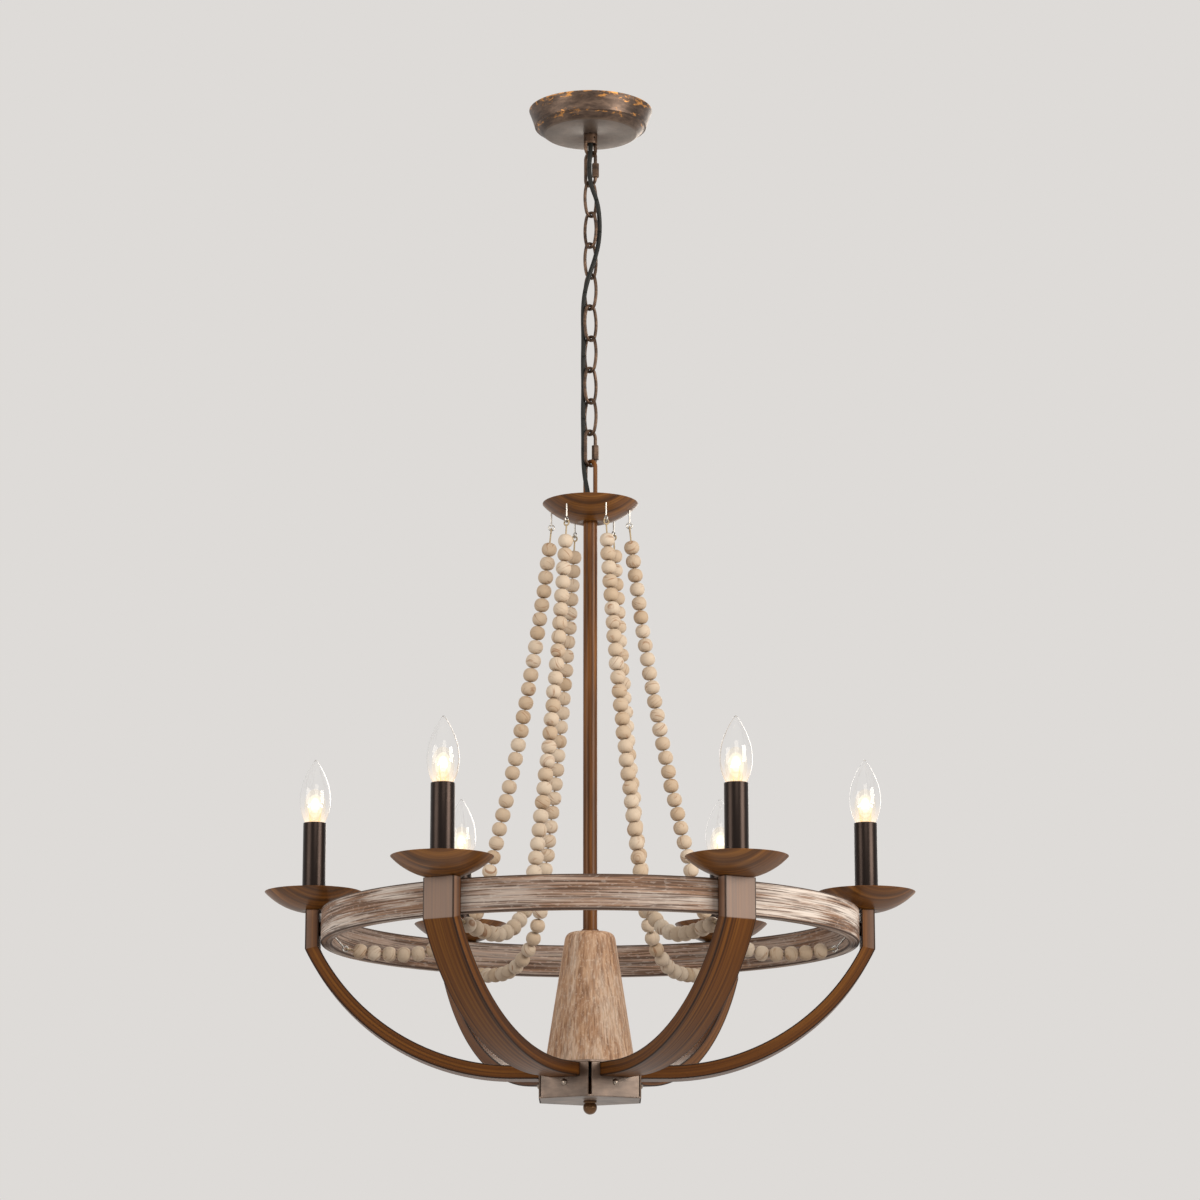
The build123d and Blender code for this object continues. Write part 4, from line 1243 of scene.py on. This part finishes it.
@dataclass
class ArmRing:
    """The hoop, the six arms and what bolts them together.

    The wash values say how much of the hoop's white wash is left: inside it and outside at its middle. The
    last three values add more wash outside towards the right and the left, up to a reach, as painted light:
    the hoop's sides paler as if lit more.
    """

    hoop_r: float = 299.56
    hoop_inner_r: float = 287.56
    hoop_low_z: float = -980.74
    hoop_top_z: float = -943.74
    hoop_round: float = 1.3
    arm_inner_r: float = 38.01
    arm_arc_r: float = 85.61
    arm_arc_z: float = -873.1
    bend_r: float = 257.4
    bend_deg: float = 63.8
    depth: float = 15.0
    width: float = 38.0
    edge_round: float = 0.9
    edge_deg: float = 20.0
    arm_top_z: float = -942.74
    boss_r: float = 8.0
    bolt_head_r: float = 4.6
    bolt_head_height: float = 3.0
    screw_z: float = -1136.5
    screw_head_r: float = 3.4
    screw_head_height: float = 2.2
    screw_slot: str = "dark_steel"
    hub_apothem: float = 56.31
    head_rim: float = 0.35
    spacer: float = 2.0
    spacer_round: float = 0.4
    # How much painted sheen, a paler colour for reflected light, lies on the blocks' outer faces.
    block_sheen: float = 0.6
    grain_step: float = 431.0
    wash_inside: float = 0.35
    wash_middle: float = 0.3
    painted_light_right: float = 0.7
    painted_light_left: float = 0.55
    painted_light_reach: float = 220.0

    def build(self, nodes: dict[str, bpy.types.Object]) -> None:
        """Build the hoop, the arms and the fasteners.

        Args:
            nodes: The frame's nodes by name.
        """
        self.build_hoop()
        self.build_arms()
        self.build_fasteners()
        dress(nodes, Palette.WIRE, "strand_hooks")

    def build_hoop(self) -> None:
        """Bend the wooden hoop; the wash is thin inside it, and heavier towards its sides as painted light.
        """
        inner, outer, low, top = self.hoop_inner_r, self.hoop_r, self.hoop_low_z, self.hoop_top_z
        corners = [(inner, low), (outer, low), (outer, top), (inner, top)]
        section = soften(corners, self.hoop_round, closed=True)
        mesh = bmesh.new()
        turn_on_lathe(mesh, section, Matrix(), 240, closed=True)
        hoop = finish_mesh("limed_hoop", mesh, Palette.HOOP, Body.LAMP.value, ["hoop"])
        middle = (inner + outer) / 2
        # The stored wash share includes painted light, more wash towards the hoop's sides.
        store(hoop, "wash", lambda co: self.wash_and_light_share(co, middle))
        store(hoop, "grain", lambda co: self.hoop_grain(co, middle))

    def wash_and_light_share(self, co: Vector, middle: float) -> float:
        """How much of the wash is left at a place on the hoop, with more towards the sides as painted light.

        Args:
            co: The place.
            middle: The radius halfway through the hoop.

        Returns:
            The share from 0 to 1.
        """
        if math.hypot(co.x, co.y) < middle:
            return self.wash_inside
        # More wash towards the right and the left is painted light: the hoop's sides paler as if the lamps
        # fell on them more.
        aside = min(abs(co.x) / self.painted_light_reach, 1.0)
        return self.wash_middle + aside * (self.painted_light_right if co.x > 0 else self.painted_light_left)

    def hoop_grain(self, co: Vector, middle: float) -> Vector:
        """Place a point of the hoop in its wood, whose joint is behind the arm on -X.

        Args:
            co: The place.
            middle: The radius halfway through the hoop.

        Returns:
            Metres along, up and across the wood.
        """
        up = co.z - (self.hoop_low_z + self.hoop_top_z) / 2
        return Vector((math.atan2(co.y, co.x) * middle, up, math.hypot(co.x, co.y) - middle)) * MM

    def side_stations(self) -> list[tuple[Point2, Point2, float]]:
        """Pairs of outer and inner points (r, z) down one arm, with the distance along it.

        Returns:
            One (outer, inner, distance) a station, from the hub out.
        """
        inner_r = self.bend_r - self.depth
        outer_end = math.radians(self.bend_deg)
        outer_x = self.arm_arc_r + self.bend_r * math.sin(outer_end)
        face_x = outer_x - self.depth
        inner_end = math.asin((face_x - self.arm_arc_r) / inner_r)
        low_z = self.arm_arc_z - self.bend_r
        stations = [((self.arm_inner_r, low_z), (self.arm_inner_r, low_z + self.depth))]
        steps = 40
        # The station just short of the end keeps the painted sheen, the paler colour for light reflected off
        # the block, on the block alone.
        for i in (*range(steps), steps - 0.1, steps):
            a, b = outer_end * i / steps, inner_end * i / steps
            stations.append((
                (self.arm_arc_r + self.bend_r * math.sin(a), self.arm_arc_z - self.bend_r * math.cos(a)),
                (self.arm_arc_r + inner_r * math.sin(b), self.arm_arc_z - inner_r * math.cos(b)),
            ))
        stations.append(((outer_x, self.arm_top_z), (face_x, self.arm_top_z)))
        walked, out = 0.0, []
        for i, (outer, inner) in enumerate(stations):
            walked += math.dist(outer, stations[i - 1][0]) if i else 0.0
            out.append((outer, inner, walked))
        return out

    def build_arms(self) -> None:
        """Weld the six arms, each with its own stretch of grain."""
        mesh = bmesh.new()
        layer = mesh.verts.layers.float_vector.new("grain")
        mesh.verts.layers.float.new("rub")
        for index in range(ARM_COUNT):
            self.add_arm(mesh, layer, index)
        arms = finish_mesh("curved_arms", mesh, Palette.GRAIN, Body.LAMP.value, ["arms"])
        ease_edges(arms, self.edge_round, self.edge_deg)

    def add_arm(self, mesh: bmesh.types.BMesh, layer: bmesh.types.BMLayerItem, index: int) -> None:
        """Add one arm's curved run and upright block.

        Args:
            mesh: The mesh that gets the arm.
            layer: Keeps the place along, across and through the arm for its grain.
            index: The arm's number from 0.
        """
        half = self.width / 2
        turn = arm_turn(index)
        rub = mesh.verts.layers.float["rub"]
        rings = []
        stations = self.side_stations()
        for number, (outer, inner, along) in enumerate(stations):
            ring = []
            for (r, z), y in ((outer, -half), (outer, half), (inner, half), (inner, -half)):
                vert = mesh.verts.new(turn @ Vector((r, y, z)))
                deep = -self.depth / 2 if (r, z) == outer else self.depth / 2
                vert[layer] = Vector((along + self.grain_step * index, y, deep)) * MM
                # The block's outer face gets the painted sheen: paler paint for the light that its satin face
                # reflects.
                if number >= len(stations) - 2 and (r, z) == outer:
                    vert[rub] = self.block_sheen
                ring.append(vert)
            rings.append(ring)
        stitch(mesh, rings, caps=True)

    def build_fasteners(self) -> None:
        """Set a domed bolt in the hoop, a spacer behind it and a screw in the hub at each arm."""
        bolts, screws = bmesh.new(), bmesh.new()
        bolt_z = (self.hoop_low_z + self.hoop_top_z) / 2
        inward = Matrix.Rotation(-math.pi / 2, 4, "Y")
        outward = Matrix.Rotation(math.pi / 2, 4, "Y")
        bolt = self.dome(self.bolt_head_r, self.bolt_head_height)
        screw = self.dome(self.screw_head_r, self.screw_head_height)
        edge = [(self.boss_r, 0.0), (self.boss_r, self.spacer)]
        spacer = soften([(0.0, 0.0), *edge, (0.0, self.spacer)], self.spacer_round)
        for index in range(ARM_COUNT):
            for mesh, line, spot, facing, steps in (
                (bolts, bolt, (self.hoop_inner_r, 0, bolt_z), inward, 32),
                (bolts, spacer, (self.hoop_r, 0, bolt_z), outward, 32),
                (screws, screw, (self.hub_apothem, 0, self.screw_z), outward, 24),
            ):
                turn_on_lathe(mesh, line, arm_turn(index) @ Matrix.Translation(spot) @ facing, steps)
        finish_mesh("bolt_heads", bolts, Palette.BOLT, Body.LAMP.value, ["arm_fasteners"])
        finish_mesh("screw_heads", screws, Palette.SCREW, Body.LAMP.value)

    def dome(self, radius: float, height: float) -> list[Point2]:
        """Outline a pan head with a round crown, standing on height 0.

        Args:
            radius: The head's radius.
            height: The height of its crown, of which head_rim is the share of its upright rim.

        Returns:
            Points (radius, height) from the middle of the foot to the middle of the crown.
        """
        rim = height * self.head_rim
        turns = spread(0.0, math.pi / 2, 8)
        crown = [(radius * math.cos(t), rim + (height - rim) * math.sin(t)) for t in turns]
        crown[-1] = (0.0, height)
        return [(0.0, 0.0), (radius, 0.0), *crown]


@dataclass
class Candles:
    """Drip dishes, black sleeves, lamp holders and lit bulbs.

    The glass is listed as (radius, height) from the neck up, and each shell of glow as (half its width, half
    its height, height of its middle above the neck). The filament is a wavy arch between two leads.
    """

    candle_r: float = 309.06
    arm_top_z: float = -942.74
    dish_r: float = 55.0
    dish_depth: float = 22.0
    dish_bore_r: float = 4.2
    dish_wall: float = 1.8
    sleeve_r: float = 13.0
    sleeve_wall: float = 1.0
    sleeve_height: float = 98.0
    sleeve_round: float = 0.45
    grain_step: Point2 = (170.0, 60.0)
    grain_lean: float = 0.3
    base_top_z: float = -847.24
    glass_wall: float = 0.8
    filament_rise: float = 25.0
    filament_half: float = 9.0
    filament_wave: float = 1.2
    filament_waves: int = 9
    filament_arch: float = 8.0
    filament_drop: float = 6.0
    filament_r: float = 0.7
    lead_half: float = 8.0
    lead_foot: float = 3.2
    lead_r: float = 0.45
    lead_rise: float = 1.0
    lead_gap: float = 2.0
    halo_sizes: tuple[Point3, ...] = (
        (5.2, 8.5, 25.0), (8.5, 13.0, 24.0), (12.0, 19.5, 23.5), (7.0, 10.0, 11.0),
    )
    glass: tuple[Point2, ...] = (
        (6.9, 0.0), (11.0, 5.0), (15.2, 15.0), (17.5, 29.0), (15.8, 45.0), (10.5, 60.0), (4.5, 71.0),
        (0.0, 76.5),
    )

    def spot(self, index: int) -> Matrix:
        """The place of one candle's axis at the ceiling's height."""
        return arm_turn(index) @ Matrix.Translation((self.candle_r, 0, 0))

    def build(self, nodes: dict[str, bpy.types.Object]) -> None:
        """Build the six candles.

        Args:
            nodes: The frame's nodes by name.
        """
        self.build_dishes()
        self.build_sleeves()
        dress(nodes, Palette.HOLDER, "lamp_holders")
        for index in range(ARM_COUNT):
            dress(nodes, Palette.BASE, f"bulb_base_{index + 1}")
            self.build_bulb(index)

    def build_dishes(self) -> None:
        """Make the bowls under the candles, each with its own stretch of grain."""
        mesh = bmesh.new()
        layer = mesh.verts.layers.float_vector.new("grain")
        bowl = Dish(self.dish_r, self.dish_depth, self.dish_bore_r)
        for index in range(ARM_COUNT):
            place = self.spot(index) @ Matrix.Translation((0, 0, self.arm_top_z))
            lean = arm_turn(index) @ Matrix.Rotation(self.grain_lean * (index % 3 - 1), 4, "Z")
            shift = Vector((*self.grain_step, 0)) * index
            for vert in turn_on_lathe(mesh, bowl.line(), place, closed=True):
                vert[layer] = (lean @ (place.inverted() @ vert.co) + shift) * MM
        finish_mesh("drip_bowls", mesh, Palette.DISH, Body.LAMP.value, ["drip_dishes"])

    def build_sleeves(self) -> None:
        """Make the black tubes round the lamp holders."""
        low = self.arm_top_z + self.dish_wall
        top = low + self.sleeve_height
        inner = self.sleeve_r - self.sleeve_wall
        corners = [(inner, low), (self.sleeve_r, low), (self.sleeve_r, top), (inner, top)]
        wall = soften(corners, self.sleeve_round, closed=True)
        mesh = bmesh.new()
        for index in range(ARM_COUNT):
            turn_on_lathe(mesh, wall, self.spot(index), 48, closed=True)
        finish_mesh("black_sleeves", mesh, Palette.SLEEVE, Body.LAMP.value, ["candle_sleeves"])

    def glass_line(self, inset: float, tip: float) -> list[Point2]:
        """The bulb's outline as a smooth curve through its measured widths.

        Args:
            inset: How far inside the outer skin the outline runs.
            tip: How far below the outer tip it ends.

        Returns:
            Points (radius, height) from the neck to the tip.
        """
        marks = [(max(r - inset, 0.0), self.base_top_z + z) for r, z in self.glass]
        marks[-1] = (0.0, marks[-1][1] - tip)
        marks = [(2 * marks[0][0] - marks[1][0], 2 * marks[0][1] - marks[1][1]), *marks]
        marks.append((-marks[-2][0], marks[-2][1]))
        line = []
        for four in zip(marks, marks[1:], marks[2:], marks[3:]):
            for t in spread(0.0, 1.0, 8)[:-1]:
                line.append(tuple(self.curve(*values, t) for values in zip(*four)))
        return [*line, marks[-2]]

    def curve(self, a: float, b: float, c: float, d: float, t: float) -> float:
        """A smooth value between b (at t = 0) and c (at t = 1), led by a and d."""
        bend = (2 * a - 5 * b + 4 * c - d) * t * t + (3 * b - a - 3 * c + d) * t**3
        return 0.5 * (2 * b + (c - a) * t + bend)

    def build_bulb(self, index: int) -> None:
        """Blow one bulb and light it.

        Args:
            index: The arm's number from zero.
        """
        body = f"bulb_{index + 1}"
        spot = self.spot(index)
        mesh = bmesh.new()
        outer = self.glass_line(0.0, 0.0)
        inner = self.glass_line(self.glass_wall, 2 * self.glass_wall)
        turn_on_lathe(mesh, [*reversed(inner), *outer], spot, 48)
        finish_mesh(f"lit_glass_{index + 1}", mesh, Palette.GLASS, body, [f"bulb_glass_{index + 1}"])
        middle = self.base_top_z + self.filament_rise
        arch = [
            spot @ Vector((
                self.filament_half * math.cos(t), self.filament_wave * math.sin(self.filament_waves * t),
                middle - self.filament_drop + self.filament_arch * math.sin(t),
            ))
            for t in spread(0.15 * math.pi, 0.85 * math.pi, 24)
        ]
        self.add_wire(f"filament_{index + 1}", [arch], self.filament_r, Palette.FILAMENT, body)
        leads = [
            [
                spot @ Vector((side * self.lead_foot, 0, self.base_top_z + self.lead_rise)),
                spot @ Vector((side * self.lead_half, 0, middle - self.lead_gap)),
            ]
            for side in (-1, 1)
        ]
        self.add_wire(f"leads_{index + 1}", leads, self.lead_r, Palette.LEAD, body)
        for level, (finish, (across, up, rise)) in enumerate(zip(Palette.HALOS, self.halo_sizes)):
            mesh = bmesh.new()
            turns = spread(0.0, math.pi, 20)
            line = [(across * math.sin(t), self.base_top_z + rise - up * math.cos(t)) for t in turns]
            turn_on_lathe(mesh, line, spot, 32)
            halo = finish_mesh(f"glow_{index + 1}_{level + 1}", mesh, finish, body)

    def add_wire(
        self, name: str, paths: Sequence[Sequence[Vector]], radius: float, finish: Finish, body: str,
    ) -> None:
        """Add thin lit wires inside a bulb.

        Args:
            name: The piece's name.
            paths: The points along each wire.
            radius: The wires' radius.
            finish: The finish they get.
            body: The bulb they ride on.
        """
        mesh = bmesh.new()
        for path in paths:
            add_tube(mesh, path, radius, 8)
        finish_mesh(name, mesh, finish, body)


@dataclass
class BeadStrands:
    """The strands of wooden beads from the top dish to the hoop, one over each arm.

    A strand hangs in three arcs: a long sag, a bend and a shallow tail up to the hoop's eye. Each bead
    strays a little from the line, tilts a little and is a little thinner than the widest one.
    """

    hook_r: float = 45.0
    dish_turn: float = -6.5
    top: Point2 = (44.6534, -502.617)
    end: Point2 = (271.063, -984.744)
    sag_r: float = 2900.0
    bend_r: float = 88.0
    tail: float = 66.0
    tail_rise: float = 6.0
    bead_r: float = 8.75
    bead_half: float = 7.75
    bead_gap: float = 0.5
    bead_fullness: float = 0.72
    bore_play: float = 0.5
    string_r: float = 0.9
    eye_r: float = 3.0
    rest_gap: float = 0.3
    shown_top: float = 11.0
    shown_end: float = 2.0
    stray_along: float = 0.3
    stray_aside: float = 0.4
    tilt_most: float = 0.08
    thinnest: float = 0.965
    wood_reach: float = 900.0
    first_seed: int = 40

    def arcs(self) -> list[tuple[float, float, float]]:
        """The strand's three arcs as (radius, first heading, last heading) from straight down.

        Returns:
            The arcs, from the top dish to the hoop.
        """
        centre = (self.end[0] - self.tail, self.end[1] - self.tail_rise + self.bend_r)
        across = (centre[0] - self.top[0], centre[1] - self.top[1])
        span = math.hypot(*across)
        small = self.sag_r - self.bend_r
        reach = (self.sag_r**2 - small**2 + span**2) / (2 * span)
        aside = math.sqrt(self.sag_r**2 - reach**2)
        unit = (across[0] / span, across[1] / span)
        far = (
            self.top[0] + reach * unit[0] - aside * unit[1],
            self.top[1] + reach * unit[1] + aside * unit[0],
        )
        first = math.atan2(far[1] - self.top[1], far[0] - self.top[0])
        bend = math.atan2(far[1] - centre[1], far[0] - centre[0])
        tail_r = (self.tail**2 + self.tail_rise**2) / (2 * self.tail_rise)
        last = math.pi / 2 + 2 * math.atan(self.tail_rise / self.tail)
        return [(self.sag_r, first, bend), (self.bend_r, bend, math.pi / 2), (tail_r, math.pi / 2, last)]

    def at(self, distance: float) -> tuple[Vector, float]:
        """Find a point of the strand.

        Args:
            distance: How far along it the point is.

        Returns:
            The place in the strand's plane and the heading from straight down.
        """
        x, z = self.top
        heading = 0.0
        for radius, start, end in self.arcs():
            run = min(distance, radius * (end - start))
            heading = start + run / radius
            x += radius * (math.cos(start) - math.cos(heading))
            z += radius * (math.sin(start) - math.sin(heading))
            distance -= run
            if distance <= 0:
                break
        return Vector((x, 0, z)), heading

    def swung(self, index: int) -> Matrix:
        """Stand one strand's plane over its arm.

        The top dish is turned a little from the arms, so the plane swings about the hoop's eye to reach
        its hook.

        Args:
            index: The arm's number from zero.

        Returns:
            The plane's place.
        """
        aside = self.hook_r * math.sin(math.radians(self.dish_turn))
        swing = -math.asin(aside / (self.end[0] - self.top[0]))
        eye = Matrix.Translation((self.end[0], 0, 0))
        return arm_turn(index) @ eye @ Matrix.Rotation(swing, 4, "Z") @ eye.inverted()

    def bead_line(self) -> list[Point2]:
        """One bead's outline, drilled through.

        Returns:
            Points (radius, height).
        """
        bore = self.string_r + self.bore_play
        reach = math.asin((bore / self.bead_r) ** (1 / self.bead_fullness))
        turns = spread(math.pi - reach, reach, 14)
        wide = [self.bead_r * math.sin(t) ** self.bead_fullness for t in turns]
        return [(bore, 0.0), *((r, self.bead_half * math.cos(t)) for r, t in zip(wide, turns))]

    def build(self, nodes: dict[str, bpy.types.Object]) -> None:
        """String the six strands."""
        for index in range(ARM_COUNT):
            self.build_strand(index)

    def build_strand(self, index: int) -> None:
        """Thread one strand: no two beads are quite alike or quite straight.

        Args:
            index: The arm's number from zero.
        """
        chance = random.Random(self.first_seed + index)
        length = sum(radius * (end - start) for radius, start, end in self.arcs())
        eye = 2 * self.eye_r - self.string_r - self.rest_gap / 2
        first = eye + self.shown_top + self.bead_half
        last = length - eye - self.shown_end - self.bead_half
        count = int((last - first) / (2 * self.bead_half + self.bead_gap)) + 1
        turn = self.swung(index)
        mesh = bmesh.new()
        grain = mesh.verts.layers.float_vector.new("grain")
        tone = mesh.verts.layers.float.new("tone")
        for number in range(count):
            place, heading = self.at(first + (last - first) * number / (count - 1))
            along = chance.uniform(-self.stray_along, self.stray_along)
            place += Vector((along, chance.uniform(-self.stray_aside, self.stray_aside), 0))
            tilt = Matrix.Rotation(-heading + chance.uniform(-self.tilt_most, self.tilt_most), 4, "Y")
            tilt = tilt @ Matrix.Rotation(chance.uniform(-self.tilt_most, self.tilt_most), 4, "X")
            wide = chance.uniform(self.thinnest, 1.0)
            spot = turn @ Matrix.Translation(place) @ tilt @ Matrix.Diagonal((wide, wide, 1.0, 1.0))
            shade = chance.random()
            lean = Matrix.Rotation(chance.uniform(0, 6.3), 4, (1, 0.4, 0.2))
            shift = Vector((chance.uniform(0, self.wood_reach), chance.uniform(0, self.wood_reach), 0))
            for vert in turn_on_lathe(mesh, self.bead_line(), spot, 24, closed=True):
                vert[grain] = (lean @ (spot.inverted() @ vert.co) + shift) * MM
                vert[tone] = shade
        body = f"strand_{index + 1}"
        finish_mesh(f"bead_string_{index + 1}", mesh, Palette.BEAD, body, [f"bead_strand_{index + 1}"])
        mesh = bmesh.new()
        marks = spread(eye - self.string_r, length - eye + self.string_r, 90)
        add_tube(mesh, [turn @ self.at(mark)[0] for mark in marks], self.string_r, 8)
        for spot, heading, side in ((0.0, self.arcs()[0][1], 1), (length, self.arcs()[2][2], -1)):
            run = Vector((math.sin(heading), 0, -math.cos(heading)))
            centre = self.at(spot)[0] + run * side * (self.eye_r - self.string_r - self.rest_gap / 2)
            across = Vector((0, 1, 0))
            spokes = [math.cos(t) * run + math.sin(t) * across for t in ring_turns(24)]
            ring = [turn @ (centre + self.eye_r * spoke) for spoke in spokes]
            add_tube(mesh, ring, self.string_r, 8, loop=True)
        finish_mesh(f"string_{index + 1}", mesh, Palette.STRING, body, [f"strand_string_{index + 1}"])


@dataclass(frozen=True)
class Softbox:
    """A square soft light that faces a point, in millimetres and watts."""

    name: str
    place: Point3
    target: Point3
    size: float
    power: float
    colour: str = "#fff5e8"

    def hang(self) -> None:
        """Add the light to the scene."""
        data = bpy.data.lights.new(self.name, "AREA")
        data.shape = "SQUARE"
        data.size = self.size * MM
        data.energy = self.power
        data.color = linear(self.colour)[:3]
        lamp = bpy.data.objects.new(self.name, data)
        lamp.visible_transmission = False
        lamp.location = Vector(self.place) * MM
        way = Vector(self.target) - Vector(self.place)
        lamp.rotation_euler = way.to_track_quat("-Z", "Y").to_euler()
        bpy.context.scene.collection.objects.link(lamp)


@dataclass
class Studio:
    """The camera, the soft lights, the pale surround and the floor."""

    camera_mm: Point3 = (11.0, -4208.0, -1519.0)
    pitch_deg: float = 12.5
    lens_mm: float = 113.7
    sensor_mm: float = 36.0
    floor_z: float = -3400.0
    floor_r: float = 40000.0
    sight_m: float = 100.0
    surround: str = "#dedbd8"
    sky: str = "#fbfaf8"
    sky_strength: float = 0.45
    lights: tuple[Softbox, ...] = (
        Softbox("key_light", (2300, -1600, -250), (0, 0, -850), 1500, 76.0),
        Softbox("fill_light", (-2300, -1500, -350), (0, 0, -850), 1500, 32.0),
        Softbox("front_light", (300, -2600, 500), (0, 0, -800), 1200, 16.0),
        Softbox("back_light", (600, 2300, 200), (0, 0, -800), 1600, 24.0),
    )

    def build(self) -> None:
        """Set up the view and the light."""
        self.build_camera()
        self.build_surround()
        self.build_floor()
        for light in self.lights:
            light.hang()
        bpy.context.scene.view_settings.view_transform = "Standard"

    def build_camera(self) -> None:
        """Stand the camera below the hoop, looking up a little."""
        data = bpy.data.cameras.new("camera")
        data.lens = self.lens_mm
        data.sensor_width = self.sensor_mm
        data.clip_end = self.sight_m
        camera = bpy.data.objects.new("camera", data)
        camera.location = Vector(self.camera_mm) * MM
        camera.rotation_euler = (math.radians(90 + self.pitch_deg), 0, 0)
        bpy.context.scene.collection.objects.link(camera)
        bpy.context.scene.camera = camera

    def build_surround(self) -> None:
        """Light the scene from all round, and show a pale surround."""
        world = bpy.data.worlds.new("pale_room")
        bpy.context.scene.world = world
        world.use_nodes = True
        tree = world.node_tree
        tree.nodes.clear()
        light = add_node(tree, "ShaderNodeBackground", links={
            "Color": linear(self.sky), "Strength": self.sky_strength,
        })
        sight = add_node(tree, "ShaderNodeBackground", links={
            "Color": linear(self.surround), "Strength": 1.0,
        })
        both = add_node(tree, "ShaderNodeMixShader", links={0: seen_share(tree), 1: light, 2: sight})
        add_node(tree, "ShaderNodeOutputWorld", links={"Surface": both})

    def build_floor(self) -> None:
        """Lay the floor of the room."""
        mesh = bmesh.new()
        rim = [(self.floor_r * math.cos(t), self.floor_r * math.sin(t)) for t in ring_turns(128)]
        mesh.faces.new([mesh.verts.new((x, y, self.floor_z)) for x, y in rim])
        floor = finish_mesh("floor", mesh, Palette.FLOOR, None)


def main() -> None:
    """Load the frame and build every sub-assembly."""
    logging.basicConfig(level=logging.INFO, format="%(name)s: %(message)s")
    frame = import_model()
    nodes = frame["nodes"]
    Studio().build()
    for assembly in (Chain(), Canopy(), StemLine(), ArmRing(), Candles(), BeadStrands()):
        assembly.build(nodes)


if __name__ == "__main__":
    main()
